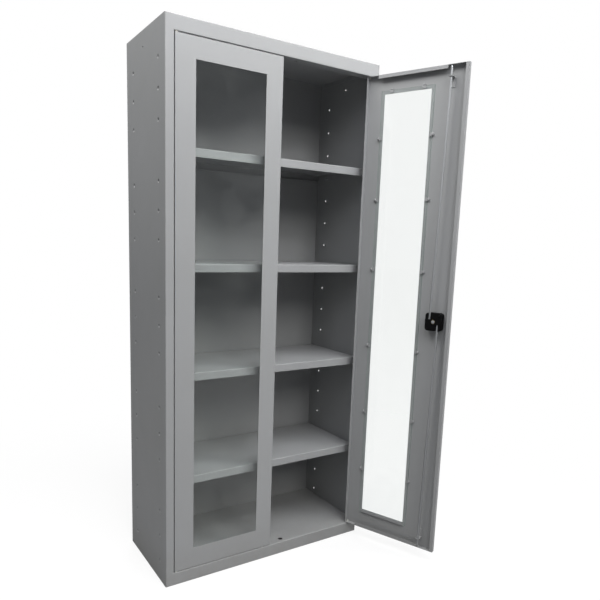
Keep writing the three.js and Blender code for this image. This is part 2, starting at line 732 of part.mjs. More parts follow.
// Block with a bore for the spindle and a pocket for the pinion and the two racks.
function lockHousing() {
  const pocketFloor = ROD_Y - ROD_RADIUS - FIT_GAP;
  const pocket = (shape) => alongY(shape, pocketFloor, HOUSING_BACK + CUT_MARGIN);
  const bore = disc(LOCK_X, LOCK_Z, HOUSING_BORE_RADIUS, ROUND_SIDES);
  const wall = RACK_BACK + FIT_GAP;
  const rackEnd = ROD_TRAVEL + 2 * TOOTH_PITCH;
  const beyond = LOCK_HEIGHT;
  return cut(
    alongY(lockOutline(), HOUSING_FRONT, HOUSING_BACK),
    alongY(bore, HOUSING_FRONT - CUT_MARGIN, HOUSING_BACK + CUT_MARGIN),
    pocket(disc(LOCK_X, LOCK_Z, PITCH_RADIUS + GEAR_MODULE + FIT_GAP * 2, ROUND_SIDES)),
    pocket(lockRectangle(0, wall, -rackEnd, beyond)),
    pocket(lockRectangle(-wall, 0, -beyond, rackEnd)),
  );
}

// Cover plate, stepped back where the two rods leave the lock.
function lockCover() {
  const front = HOUSING_BACK + FIT_GAP;
  const through = (shape) => alongY(shape, front - CUT_MARGIN, COVER_BACK + CUT_MARGIN);
  const beside = RACK_OFFSET - ROD_RADIUS - COVER_NOTCH_SIDE;
  return cut(
    alongY(lockOutline(), front, COVER_BACK),
    through(disc(LOCK_X, LOCK_Z, SPINDLE + FIT_GAP * 2, ROUND_SIDES)),
    through(lockRectangle(beside, LOCK_WIDTH, COVER_NOTCH_STEP, LOCK_HEIGHT)),
    through(lockRectangle(-LOCK_WIDTH, -beside, -LOCK_HEIGHT, -COVER_NOTCH_STEP)),
  );
}

// Angle by which an involute flank has closed in at a given radius.
function involute(radius) {
  const base = PITCH_RADIUS * Math.cos(PRESSURE_ANGLE);
  const pressure = Math.acos(Math.min(1, base / radius));
  return Math.tan(pressure) - pressure;
}

function gearOutline() {
  const root = PITCH_RADIUS - DEDENDUM;
  const base = PITCH_RADIUS * Math.cos(PRESSURE_ANGLE);
  const tip = PITCH_RADIUS + ADDENDUM;
  const halfTooth = (TOOTH_PITCH / 2 - GEAR_BACKLASH) / 2 / PITCH_RADIUS;
  const flank = [root];
  for (let i = 0; i <= FLANK_STEPS; i += 1) {
    flank.push(base + ((tip - base) * i) / FLANK_STEPS);
  }
  const halfAngle = (radius) => halfTooth + involute(PITCH_RADIUS) - involute(Math.max(radius, base));
  const points = [];
  for (let tooth = 0; tooth < GEAR_TEETH; tooth += 1) {
    const middle = (tooth * 2 * Math.PI) / GEAR_TEETH;
    const corner = (radius, side) => {
      const angle = middle + side * halfAngle(radius);
      return new THREE.Vector2(LOCK_X + radius * Math.cos(angle), LOCK_Z + radius * Math.sin(angle));
    };
    points.push(...flank.map((radius) => corner(radius, -1)));
    points.push(...flank.toReversed().map((radius) => corner(radius, 1)));
  }
  return new THREE.Shape(points);
}

function lockPinion() {
  const half = GEAR_WIDTH / 2;
  const toothed = alongY(gearOutline(), ROD_Y - half, ROD_Y + half);
  const boss = alongY(disc(LOCK_X, LOCK_Z, SPINDLE, ROUND_SIDES), ROD_Y, PINION_END);
  const square = spindleSquare(SPINDLE + 2 * FIT_GAP);
  const bore = alongY(square, ROD_Y - half - CUT_MARGIN, PINION_END + CUT_MARGIN);
  return cut(join(toothed, boss), bore);
}

// Rack in (offset to the side of the pinion, height). A gap faces the pinion's tooth at height 0.
function rackOutline(way) {
  const halfTooth = (TOOTH_PITCH / 2 - GEAR_BACKLASH) / 2;
  const lean = Math.tan(PRESSURE_ANGLE);
  const [tip, root] = [PITCH_RADIUS - ADDENDUM, PITCH_RADIUS + DEDENDUM];
  const [tipHalf, rootHalf] = [halfTooth - ADDENDUM * lean, halfTooth + DEDENDUM * lean];
  const lowest = -Math.ceil(ROD_TRAVEL / TOOTH_PITCH);
  const pairs = [];
  for (let tooth = lowest; tooth <= 1; tooth += 1) {
    const middle = (tooth - 1 / 2) * TOOTH_PITCH;
    pairs.push([root, middle - rootHalf], [tip, middle - tipHalf]);
    pairs.push([tip, middle + tipHalf], [root, middle + rootHalf]);
  }
  const foot = (lowest - 1) * TOOTH_PITCH;
  const head = 3 * TOOTH_PITCH;
  pairs.push([root, head], [RACK_BACK, head], [RACK_BACK, foot], [root, foot]);
  return outline(pairs.map(([side, height]) => [LOCK_X + way * side, LOCK_Z + way * height]));
}

// Lock rod: a rack at the lock, then a slanting round rod that ends upright in its guide.
function lockRod(way) {
  const tipHeight = way > 0 ? DOOR_TOP - ROD_SETBACK : DOOR_BOTTOM + ROD_SETBACK;
  const rackX = LOCK_X + way * RACK_OFFSET;
  const start = LOCK_Z + way * 2 * TOOTH_PITCH;
  const bend = tipHeight - way * ROD_STRAIGHT;
  const shoulder = tipHeight - way * ROD_TIP;
  const leave = start + (way * ROD_STRAIGHT) / 2;
  const route = new THREE.CatmullRomCurve3([
    new THREE.Vector3(rackX, ROD_Y, start),
    new THREE.Vector3(rackX, ROD_Y, leave),
    new THREE.Vector3(LOCK_X, ROD_Y, bend),
    new THREE.Vector3(LOCK_X, ROD_Y, shoulder),
  ], false, 'centripetal');
  const bar = toSolid(new THREE.ExtrudeGeometry(disc(0, 0, ROD_RADIUS, ROD_SIDES), {
    steps: ROD_STEPS,
    extrudePath: route,
  }));
  const half = GEAR_WIDTH / 2;
  const rack = alongY(rackOutline(way), ROD_Y - half, ROD_Y + half);
  const tipLength = ROD_TIP + CUT_MARGIN;
  const tip = new THREE.CylinderGeometry(ROD_RADIUS / 2, ROD_RADIUS * ROD_TIP_SHARE, tipLength, ROD_SIDES);
  const tipMiddle = tipHeight - (way * tipLength) / 2;
  const point = toSolid(tip.rotateX((way * Math.PI) / 2).translate(LOCK_X, ROD_Y, tipMiddle));
  return join(bar, rack, point);
}

// Folded bracket welded to the door's skin. Its foot points to the lock, its ledge holds a rod near the end.
function rodGuide(way) {
  const level = way > 0 ? DOOR_TOP - GUIDE_INSET : DOOR_BOTTOM + GUIDE_INSET;
  const back = SKIN_INNER + WELD_GAP;
  const half = GUIDE_WIDTH / 2;
  const corners = [[ROD_Y + half, level], [back, level], [back, level - way * GUIDE_FOOT]];
  const section = foldedSheet(way > 0 ? corners : corners.toReversed(), GUIDE_SHEET, GUIDE_BEND);
  const bracket = alongX(section, LOCK_X - half, LOCK_X + half);
  const plan = new THREE.Shape([
    new THREE.Vector2(LOCK_X - half, back - CUT_MARGIN),
    new THREE.Vector2(LOCK_X + half, back - CUT_MARGIN),
    ...arc(LOCK_X, ROD_Y, half, 0, Math.PI, BEND_STEPS * 4),
  ]);
  const [low, high] = [level - GUIDE_FOOT - CUT_MARGIN, level + GUIDE_FOOT + CUT_MARGIN];
  const bore = ROD_RADIUS + 2 * FIT_GAP;
  return cut(
    bracket.intersect(alongZ(plan, low, high)),
    holeUp(LOCK_X, ROD_Y, bore, low, high, ROUND_SIDES),
  );
}

// Handle outside the right door: rose, winged hub with a square spindle, key plug and end screw

function onSpindle(geometry) {
  return toSolid(geometry.translate(LOCK_X, 0, LOCK_Z));
}

function handleRose() {
  const back = FRONT - FIT_GAP;
  const bore = SPINDLE_HOLE_RADIUS;
  const rim = ROSE / 2;
  return onSpindle(turned([
    [bore, ROSE_FRONT],
    [ROSE_RADIUS - rim, ROSE_FRONT],
    [ROSE_RADIUS, ROSE_FRONT + rim],
    [ROSE_RADIUS, back],
    [bore, back],
    [bore, ROSE_FRONT],
  ]));
}

function wing() {
  const [span, height] = [WING_SPAN / 2 - WING_ROUND, WING_HEIGHT / 2 - WING_ROUND];
  const shape = roundedRectangle(-span, span, -height, height, WING_END_ROUND);
  const bar = new THREE.ExtrudeGeometry(shape, {
    depth: WING_THICKNESS - 2 * WING_ROUND,
    bevelSize: WING_ROUND,
    bevelThickness: WING_ROUND,
    bevelSegments: 2,
  });
  const turn = new THREE.Matrix4().makeBasis(ALONG_X, ALONG_Z, ALONG_Y.clone().negate());
  return onSpindle(bar.applyMatrix4(turn).translate(0, HUB_FRONT + WING_THICKNESS - WING_ROUND, 0));
}

function wingHandle() {
  const spindleEnd = PINION_END - FIT_GAP;
  const hub = onSpindle(turned([
    [0, HUB_FRONT],
    [HUB_RADIUS - WING_ROUND, HUB_FRONT],
    [HUB_RADIUS, HUB_FRONT + WING_ROUND],
    [HUB_RADIUS, HUB_BACK],
    [0, HUB_BACK],
  ]));
  const spindle = alongY(spindleSquare(SPINDLE), HUB_BACK - CUT_MARGIN, spindleEnd);
  const plugHole = disc(LOCK_X, LOCK_Z, PLUG_RADIUS + FIT_GAP, ROUND_SIDES);
  const screwHole = disc(LOCK_X, LOCK_Z, SCREW_RADIUS + FIT_GAP, HOLE_SIDES);
  return cut(
    join(hub, wing(), spindle),
    alongY(plugHole, HUB_FRONT - CUT_MARGIN, HUB_FRONT + PLUG_LENGTH + FIT_GAP),
    alongY(screwHole, spindleEnd - SCREW_LENGTH - CUT_MARGIN, spindleEnd + CUT_MARGIN),
  );
}

function keyPlug() {
  const plug = onSpindle(turned([
    [0, HUB_FRONT],
    [PLUG_RADIUS, HUB_FRONT],
    [PLUG_RADIUS, HUB_FRONT + PLUG_LENGTH],
    [0, HUB_FRONT + PLUG_LENGTH],
  ]));
  const [w, h] = [KEYWAY_WIDTH / 2, KEYWAY_HEIGHT / 2];
  const keyway = lockRectangle(-w, w, -h, h);
  return cut(plug, alongY(keyway, HUB_FRONT - CUT_MARGIN, HUB_FRONT + KEYWAY_DEPTH));
}

function spindleScrew() {
  const seat = PINION_END + FIT_GAP;
  const shank = SCREW_RADIUS * Math.cos(Math.PI / HOLE_SIDES);
  return onSpindle(turned([
    [0, seat - SCREW_LENGTH],
    [shank, seat - SCREW_LENGTH],
    [shank, seat],
    [SCREW_HEAD_RADIUS, seat],
    [SCREW_HEAD_RADIUS, seat + SCREW_HEAD_EDGE],
    [SCREW_CROWN_RADIUS, seat + SCREW_HEAD],
    [0, seat + SCREW_HEAD],
  ]));
}

// Slide bolts inside the left door, one at its top and one at its bottom

function boltTip(way) {
  return way > 0 ? DOOR_TOP - DOOR_SHEET - BOLT_SETBACK : DOOR_BOTTOM + DOOR_SHEET + BOLT_SETBACK;
}

function span(start, end) {
  return [Math.min(start, end), Math.max(start, end)];
}

function slideBolt(way) {
  const tip = boltTip(way);
  const [low, high] = span(tip, tip - way * BOLT_LENGTH);
  const bar = alongZ(disc(BOLT_X, BOLT_Y, BOLT_RADIUS, ROD_SIDES), low, high);
  const knob = turned([
    [0, 0],
    [BOLT_KNOB_NECK_RADIUS, 0],
    [BOLT_KNOB_NECK_RADIUS, BOLT_KNOB_NECK],
    [BOLT_KNOB_RADIUS, BOLT_KNOB_NECK + BOLT_KNOB_ROUND],
    [BOLT_KNOB_RADIUS, BOLT_KNOB_HEIGHT - BOLT_KNOB_ROUND],
    [BOLT_KNOB_RADIUS - BOLT_KNOB_ROUND, BOLT_KNOB_HEIGHT],
    [0, BOLT_KNOB_HEIGHT],
  ], ROD_SIDES);
  return join(bar, toSolid(knob.translate(BOLT_X, BOLT_Y, tip - way * BOLT_KNOB_FROM_TIP)));
}

// Hat section that holds a bolt against the door, slotted for the knob's travel.
function boltGuide(way) {
  const tip = boltTip(way);
  const inner = BOLT_RADIUS + FIT_GAP;
  const outer = inner + BOLT_GUIDE_SHEET;
  const far = outer + BOLT_GUIDE_FOOT;
  const foot = SKIN_INNER + FIT_GAP;
  const ledge = foot + BOLT_GUIDE_SHEET;
  const roof = BOLT_Y + inner;
  const crest = roof + BOLT_GUIDE_SHEET;
  const hat = outline([
    [-far, foot], [-inner, foot], [-inner, roof], [inner, roof], [inner, foot], [far, foot],
    [far, ledge], [outer, ledge], [outer, crest], [-outer, crest], [-outer, ledge], [-far, ledge],
  ].map(([x, y]) => [BOLT_X + x, y]));
  const start = tip - way * BOLT_GUIDE_FROM_TIP;
  const knob = tip - way * BOLT_KNOB_FROM_TIP;
  const slotHalf = BOLT_KNOB_RADIUS + FIT_GAP;
  const [low, high] = span(knob - way * slotHalf, knob + way * (BOLT_TRAVEL + slotHalf));
  const slot = rectangle(BOLT_X - slotHalf, BOLT_X + slotHalf, low, high);
  const strap = alongZ(hat, ...span(start, start - way * BOLT_GUIDE_LENGTH));
  return cut(strap, alongY(slot, BOLT_Y, crest + CUT_MARGIN));
}

// Group whose contents are drawn with the door shut, turned about the door's pivots.
function hungDoor(parent, pivotX, angle) {
  const hinge = new THREE.Group();
  hinge.position.set(pivotX, PIVOT_Y, 0);
  hinge.rotation.z = THREE.MathUtils.degToRad(angle);
  const leaf = new THREE.Group();
  leaf.position.set(-pivotX, -PIVOT_Y, 0);
  hinge.add(leaf);
  parent.add(hinge);
  return leaf;
}

const cabinet = new THREE.Group();
const sidePanel = leftSide();
place(cabinet, 'side_left', sidePanel, paint());
place(cabinet, 'side_right', mirrored(sidePanel), paint());
place(cabinet, 'top_panel', topPanel(), paint());
place(cabinet, 'floor_pan', floorPan(), paint());
place(cabinet, 'back_panel', backPanel(), paint());
place(cabinet, 'floor_stiffener', floorStiffener(), paint());

const holeHeights = shelfHoleHeights();
for (let number = 1; number <= SHELF_COUNT; number += 1) {
  const studHeight = holeHeights[number * SHELF_EVERY - 1];
  place(cabinet, `shelf_${number}`, shelf(studHeight), paint());
  for (const [depthName, y] of [['front', FRONT_HOLES], ['rear', REAR_HOLES]]) {
    const stud = shelfStud(y, studHeight);
    place(cabinet, `shelf_${number}_stud_left_${depthName}`, stud, zinc());
    place(cabinet, `shelf_${number}_stud_right_${depthName}`, mirrored(stud), zinc());
  }
}

const leftLeaf = hungDoor(cabinet, -PIVOT_X, 0);
const rightLeaf = hungDoor(cabinet, PIVOT_X, RIGHT_DOOR_ANGLE);
const plainWindow = DOOR_FREE + PLAIN_MEETING_STILE;
const lockWindow = DOOR_FREE + LOCK_MEETING_STILE;

const boltHoles = flangeHoles(BOLT_X, BOLT_Y, BOLT_RADIUS + 2 * FIT_GAP);
const spindleHole = alongY(
  disc(LOCK_X, LOCK_Z, SPINDLE_HOLE_RADIUS, ROUND_SIDES),
  FRONT - CUT_MARGIN,
  SKIN_INNER + CUT_MARGIN,
);
place(leftLeaf, 'door_left', cut(mirrored(door(plainWindow)), ...boltHoles), paint());
place(leftLeaf, 'glass_left', mirrored(windowPane(plainWindow)), glass());
place(rightLeaf, 'door_right', cut(door(lockWindow), spindleHole), paint());
place(rightLeaf, 'glass_right', windowPane(lockWindow), glass());

for (const [level, way] of [['bottom', 1], ['top', -1]]) {
  const pin = pivotPin(way);
  const bush = pivotBush(way);
  place(cabinet, `pivot_pin_left_${level}`, mirrored(pin), zinc());
  place(cabinet, `pivot_pin_right_${level}`, pin, zinc());
  place(leftLeaf, `pivot_bush_left_${level}`, mirrored(bush), nylon());
  place(rightLeaf, `pivot_bush_right_${level}`, bush, nylon());
}

for (const [level, way] of [['upper', 1], ['lower', -1]]) {
  place(rightLeaf, `lock_rod_${level}`, lockRod(way), zinc());
  place(rightLeaf, `rod_guide_${level}`, rodGuide(way), paint());
  place(leftLeaf, `slide_bolt_${level}`, slideBolt(way), zinc());
  place(leftLeaf, `bolt_guide_${level}`, boltGuide(way), zinc());
}

place(rightLeaf, 'lock_housing', lockHousing(), blackPlastic());
place(rightLeaf, 'lock_cover', lockCover(), blackPlastic());
place(rightLeaf, 'lock_pinion', lockPinion(), brass());
place(rightLeaf, 'handle_rose', handleRose(), chrome());
place(rightLeaf, 'wing_handle', wingHandle(), chrome());
place(rightLeaf, 'key_plug', keyPlug(), brass());
place(rightLeaf, 'spindle_screw', spindleScrew(), zinc());

export default cabinet;
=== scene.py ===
"""Dresses a free-standing glass door medical cabinet of folded sheet steel.

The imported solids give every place. This file adds the finishes, the small hardware, the light and
the camera, and puts each piece on the body that carries it.
"""

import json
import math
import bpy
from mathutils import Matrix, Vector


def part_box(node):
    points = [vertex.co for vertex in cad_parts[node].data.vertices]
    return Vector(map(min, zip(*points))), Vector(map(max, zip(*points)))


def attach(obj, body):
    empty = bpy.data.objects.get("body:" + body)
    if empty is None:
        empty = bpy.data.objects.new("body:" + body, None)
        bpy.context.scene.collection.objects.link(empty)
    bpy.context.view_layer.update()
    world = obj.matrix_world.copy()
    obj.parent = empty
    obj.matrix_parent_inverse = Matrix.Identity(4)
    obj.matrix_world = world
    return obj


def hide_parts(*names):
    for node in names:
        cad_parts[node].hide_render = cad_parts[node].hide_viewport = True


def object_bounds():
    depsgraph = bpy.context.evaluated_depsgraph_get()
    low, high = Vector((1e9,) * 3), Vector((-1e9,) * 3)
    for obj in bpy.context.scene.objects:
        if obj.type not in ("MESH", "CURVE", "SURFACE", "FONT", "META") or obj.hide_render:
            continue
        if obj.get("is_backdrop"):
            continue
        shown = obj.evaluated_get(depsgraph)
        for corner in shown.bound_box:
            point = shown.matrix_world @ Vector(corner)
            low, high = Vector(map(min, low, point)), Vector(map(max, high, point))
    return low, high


bl_info = {
    "name": "Glass Door Medical Cabinet",
    "version": (1, 0, 0),
    "blender": (4, 5, 0),
    "location": "View3D > Sidebar > Cabinet",
    "description": "Finishes, hardware, light and camera of a steel cabinet with glazed doors",
    "category": "Object",
}

import bmesh
import bpy
from bpy.props import FloatProperty, FloatVectorProperty, IntProperty, PointerProperty
from mathutils import Matrix, Vector

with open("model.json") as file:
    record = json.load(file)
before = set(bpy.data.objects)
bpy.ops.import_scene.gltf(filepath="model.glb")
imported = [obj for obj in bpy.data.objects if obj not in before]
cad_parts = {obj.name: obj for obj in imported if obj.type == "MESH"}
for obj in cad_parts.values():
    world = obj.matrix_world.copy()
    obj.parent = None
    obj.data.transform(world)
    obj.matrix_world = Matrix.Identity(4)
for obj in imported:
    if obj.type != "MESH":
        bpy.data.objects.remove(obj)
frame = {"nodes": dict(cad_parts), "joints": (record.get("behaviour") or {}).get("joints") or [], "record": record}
CAD_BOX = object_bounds()

MM = 0.001
RIGHT = Vector((1.0, 0.0, 0.0))
BACK = Vector((0.0, 1.0, 0.0))
UP = Vector((0.0, 0.0, 1.0))
WHITE = (1.0, 1.0, 1.0, 1.0)

# Faces that meet at less than these angles are shaded as one, or count as one flat
SHARP = math.radians(40)
LEVEL = math.radians(1)

# Corners closer than this count as one
TOUCH = 0.01 * MM

# Steps around turned hardware, and from edge to edge of a bevel
ROUND_STEPS = 24
SCREW_STEPS = 32
LUG_STEPS = 20
BEVEL_STEPS = 3

# Each screw of a set is turned this much further than the one before it
SCREW_TURN = 0.7

# Tints of the light
WARM_LAMP = "#FFFEFA"
COOL_LAMP = "#FAFBFF"
SKY_TINT = "#F4F7FF"

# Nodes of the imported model, by what is done to them
SIDES = ["side_left", "side_right"]
PANELS = ["top_panel", "floor_pan", "back_panel", "floor_stiffener"]
SHELVES = ["shelf_1", "shelf_2", "shelf_3", "shelf_4"]
DOORS = ["door_left", "door_right"]
ROD_GUIDES = ["rod_guide_upper", "rod_guide_lower"]
PANES = ["glass_left", "glass_right"]
STUDS = [name for name in frame["nodes"] if "_stud_" in name]

# Heights of the tabs beside a pane, in millimetres from its middle
TAB_LEVELS = (-685, -425, -135, 185, 465, 705)

# Collar inside a drawn shelf hole: radius and height in millimetres, from the sheet's inner face
HOLE_COLLAR = (
    (6.05, 0.0), (4.8, 1.0), (4.05, 1.7), (3.95, 4.0), (4.6, 4.1), (5.0, 3.7), (5.4, 2.0), (7.3, 0.0),
)


def hex_colour(text):
    """Linear colour of an sRGB hex value."""
    channels = [int(text[i:i + 2], 16) / 255 for i in (1, 3, 5)]
    linear = [c / 12.92 if c <= 0.04045 else ((c + 0.055) / 1.055) ** 2.4 for c in channels]
    return (*linear, 1.0)


def colour_property(name, description, text):
    """Colour that a user can change, with an sRGB hex value as its default."""
    return FloatVectorProperty(
        name=name, description=description, subtype="COLOR", size=4, min=0.0, max=1.0,
        default=hex_colour(text),
    )


def length_property(name, description, millimetres):
    """Length that a user can change, with its default given in millimetres."""
    return FloatProperty(
        name=name, description=description, subtype="DISTANCE", unit="LENGTH", min=0.0,
        default=millimetres * MM,
    )


def power_property(name, description, watts):
    """Power of a lamp that a user can change."""
    return FloatProperty(name=name, description=description, unit="POWER", default=watts)


def level_property(name, description, level):
    """Strength that a user can change."""
    return FloatProperty(name=name, description=description, min=0.0, default=level)


class CabinetFinishes(bpy.types.PropertyGroup):
    """Colours of the cabinet's materials."""

    paint: colour_property("Paint", "Powder coat on all the sheet steel", "#9B9C9E")
    paint_cloud: colour_property("Paint cloud", "Darker tone that drifts through the coat", "#939494")
    grime: colour_property("Grime", "Dust and scuffs that gather near the floor", "#85827C")
    zinc: colour_property("Zinc", "Plating on rods, bolts, studs and screws", "#9FA1A3")
    black_zinc: colour_property("Black zinc", "Blackened screws of the lock cover", "#2A2A2C")
    plastic: colour_property("Plastic", "Moulded lock body and its cover", "#060607")
    brass: colour_property("Brass", "Pinion and key plug", "#85744A")
    chrome: colour_property("Chrome", "Handle and rose", "#D4D6D8")
    nylon: colour_property("Nylon", "Bushes of the door pivots", "#D6D3C8")
    glass: colour_property("Glass", "Tint of the panes", "#FAFCFB")
    glass_edge: colour_property("Glass edge", "Frosted edges of the panes", "#7C8783")


class CabinetHardware(bpy.types.PropertyGroup):
    """Sizes of the small hardware."""

    rivet_radius: length_property("Rivet radius", "Radius of a blind rivet's head", 4.0)
    rivet_height: length_property("Rivet height", "Height of a blind rivet's head", 1.0)
    rivet_inset: length_property("Rivet inset", "From the back panel's edge to its rivets", 20.0)
    rivet_count: IntProperty(name="Rivets", description="Rivets in each row on the back", default=9, min=2)
    screw_radius: length_property("Screw radius", "Radius of a pan-head screw", 3.2)
    screw_edge: length_property("Screw edge", "From the edge of a bolt guide's foot to its screws", 4.6)
    sheet_bend: length_property("Sheet bend", "Outer radius of the bends in the carcass", 3.0)
    lug_rise: length_property("Lug rise", "From a pane's front to the middle of the lugs", 3.7)
    lug_offset: length_property("Lug offset", "From a pane's edge out to the middle of the lugs", 4.2)
    top_tab_inset: length_property("Top tab inset", "From a pane's sides to the tabs above it", 43.0)
    cover_screw_edge: length_property("Cover screw edge", "From the lock cover's edges to its screws", 9.0)
    bevel: length_property("Bevel", "Rounding of moulded and cast edges", 0.8)
    plate_bevel: length_property("Plate bevel", "Rounding of pressed and turned edges", 0.3)
    tooth_bevel: length_property("Tooth bevel", "Rounding of the pinion's teeth", 0.15)
    guide_sheet: length_property("Guide sheet", "Sheet of the bolt guides, below their screws", 1.5)


class CabinetStage(bpy.types.PropertyGroup):
    """Light, floor and camera."""

    floor: colour_property("Floor", "Floor as the cabinet sees it", "#8F8F8F")
    front_power: power_property("Front", "Lamp far in front", 210.0)
    ceiling_power: power_property("Ceiling", "Lamp above the front", 84.0)
    side_power: power_property("Side", "Lamp above the left side", 70.0)
    right_power: power_property("Right", "Lamp to the front right", 93.0)
    back_power: power_property("Back", "Lamp behind, for the back panel", 75.0)
    sky_level: level_property("Sky", "Light from above", 0.27)
    ground_level: level_property("Ground", "Light from below", 0.08)
    mirror_gain: level_property("Mirror gain", "Sky in reflections", 1.5)
    lens: FloatProperty(name="Lens", description="Focal length", unit="CAMERA", default=34.8)


# Node trees

def find_socket(sockets, key):
    """Socket by its identifier, or else by its name."""
    return next((socket for socket in sockets if socket.identifier == key), None) or sockets[key]


def add_node(tree, kind, settings=None, links=None):
    """Adds a node, sets its attributes and sockets, and links outputs into its inputs."""
    node = tree.nodes.new(kind)
    values = dict(settings or {})
    for key in [key for key in values if hasattr(node, key)]:
        setattr(node, key, values.pop(key))
    for key, value in values.items():
        find_socket(node.inputs, key).default_value = value
    for key, source in (links or {}).items():
        tree.links.new(source, find_socket(node.inputs, key))
    return node


def new_material(name, settings):
    """Empty material with one shader on its surface. Returns the material, its tree and the shader."""
    material = bpy.data.materials.new(name)
    material.use_nodes = True
    tree = material.node_tree
    tree.nodes.clear()
    shader = add_node(tree, "ShaderNodeBsdfPrincipled", settings)
    add_node(tree, "ShaderNodeOutputMaterial", links={"Surface": shader.outputs["BSDF"]})
    return material, tree, shader


def per_size(millimetres):
    """Scale of a pattern whose features are that large."""
    return 1.0 / (millimetres * MM)


def powder_coated_steel(colours):
    """Sheet steel, powder coated: a satin grey film with orange peel, slow clouds and floor dust."""
    material, tree, shader = new_material("powder_coated_steel", {"IOR": 1.5})
    place = add_node(tree, "ShaderNodeTexCoord").outputs["Object"]
    clouds = add_node(
        tree, "ShaderNodeTexNoise", {"Scale": per_size(420), "Detail": 4.0, "Roughness": 0.55},
        {"Vector": place},
    )
    tone = add_node(
        tree, "ShaderNodeMix",
        {"data_type": "RGBA", "A_Color": colours.paint, "B_Color": colours.paint_cloud},
        {"Factor_Float": clouds.outputs["Fac"]},
    )
    # Dust and shoe scuffs show in the lowest 160 mm and thin out upwards.
    height = add_node(tree, "ShaderNodeSeparateXYZ", links={"Vector": place})
    near_floor = add_node(
        tree, "ShaderNodeMapRange",
        {"From Min": 0.16, "From Max": 0.0, "To Min": 0.0, "To Max": 0.5},
        {"Value": height.outputs["Z"]},
    )
    smears = add_node(
        tree, "ShaderNodeTexNoise", {"Scale": per_size(35), "Detail": 5.0, "Distortion": 0.6},
        {"Vector": place},
    )
    dust = add_node(
        tree, "ShaderNodeMath", {"operation": "MULTIPLY"},
        {"Value": near_floor.outputs["Result"], "Value_001": smears.outputs["Fac"]},
    )
    coat = add_node(
        tree, "ShaderNodeMix", {"data_type": "RGBA", "B_Color": colours.grime},
        {"Factor_Float": dust.outputs["Value"], "A_Color": find_socket(tone.outputs, "Result_Color")},
    )
    # Wiping leaves patches a palm wide that are a little glossier than the rest.
    wiped = add_node(
        tree, "ShaderNodeTexNoise", {"Scale": per_size(90), "Detail": 3.0}, {"Vector": place},
    )
    gloss = add_node(
        tree, "ShaderNodeMapRange", {"To Min": 0.36, "To Max": 0.5}, {"Value": wiped.outputs["Fac"]},
    )
    # Orange peel of a powder coat is about 3 mm across; it is drawn at 7 mm so that it shows.
    peel = add_node(
        tree, "ShaderNodeTexNoise", {"Scale": per_size(7), "Detail": 2.0}, {"Vector": place},
    )
    # Thin sheet is never quite flat between its folds.
    sheet = add_node(
        tree, "ShaderNodeTexNoise", {"Scale": per_size(300), "Detail": 0.0}, {"Vector": place},
    )
    waves = add_node(
        tree, "ShaderNodeBump", {"Strength": 0.35, "Distance": 0.006}, {"Height": sheet.outputs["Fac"]},
    )
    grain = add_node(
        tree, "ShaderNodeBump", {"Strength": 0.22, "Distance": 0.0004},
        {"Height": peel.outputs["Fac"], "Normal": waves.outputs["Normal"]},
    )
    tree.links.new(find_socket(coat.outputs, "Result_Color"), shader.inputs["Base Color"])
    tree.links.new(gloss.outputs["Result"], shader.inputs["Roughness"])
    tree.links.new(grain.outputs["Normal"], shader.inputs["Normal"])
    return material


def plated_metal(name, settings, colour, grain_mm, gloss, bump):
    """Metal with a cloudy gloss and fine marks: the shared base of plated and turned parts."""
    material, tree, shader = new_material(name, {"Metallic": 1.0, "Base Color": colour, **settings})
    place = add_node(tree, "ShaderNodeTexCoord").outputs["Object"]
    clouds = add_node(
        tree, "ShaderNodeTexNoise", {"Scale": per_size(grain_mm), "Detail": 4.0}, {"Vector": place},
    )
    sheen = add_node(
        tree, "ShaderNodeMapRange", {"To Min": gloss[0], "To Max": gloss[1]},
        {"Value": clouds.outputs["Fac"]},
    )
    marks = add_node(
        tree, "ShaderNodeBump", {"Strength": bump, "Distance": 0.0002},
        {"Height": clouds.outputs["Fac"]},
    )
    tree.links.new(sheen.outputs["Result"], shader.inputs["Roughness"])
    tree.links.new(marks.outputs["Normal"], shader.inputs["Normal"])
    return material


def zinc_plated_steel(colours):
    """Drawn steel, zinc plated and passivated: the thick passivation scatters half of the light."""
    return plated_metal("zinc_plated_steel", {"Metallic": 0.5}, colours.zinc, 6, (0.42, 0.6), 0.15)


def black_zinc_steel(colours):
    """Steel screws, black passivated zinc: dark and oily."""
    return plated_metal("black_zinc_steel", {}, colours.black_zinc, 4, (0.35, 0.5), 0.1)


def machined_brass(colours):
    """Brass, turned and milled: warm metal with fine tool marks."""
    return plated_metal("machined_brass", {}, colours.brass, 2, (0.22, 0.38), 0.2)


def chromed_die_casting(colours):
    """Zinc casting, polished and chrome plated: mirror bright with faint finger smears."""
    return plated_metal("chromed_die_casting", {}, colours.chrome, 18, (0.05, 0.16), 0.03)


def moulded_plastic(name, settings, colour, texture_mm, gloss):
    """Injection moulded plastic with a spark-eroded skin."""
    material, tree, shader = new_material(name, {"Base Color": colour, "IOR": 1.53, **settings})
    place = add_node(tree, "ShaderNodeTexCoord").outputs["Object"]
    skin = add_node(
        tree, "ShaderNodeTexNoise", {"Scale": per_size(texture_mm), "Detail": 2.0}, {"Vector": place},
    )
    worn = add_node(
        tree, "ShaderNodeTexNoise", {"Scale": per_size(25), "Detail": 3.0}, {"Vector": place},
    )
    sheen = add_node(
        tree, "ShaderNodeMapRange", {"To Min": gloss[0], "To Max": gloss[1]},
        {"Value": worn.outputs["Fac"]},
    )
    texture = add_node(
        tree, "ShaderNodeBump", {"Strength": 0.25, "Distance": 0.0002}, {"Height": skin.outputs["Fac"]},
    )
    tree.links.new(sheen.outputs["Result"], shader.inputs["Roughness"])
    tree.links.new(texture.outputs["Normal"], shader.inputs["Normal"])
    return material


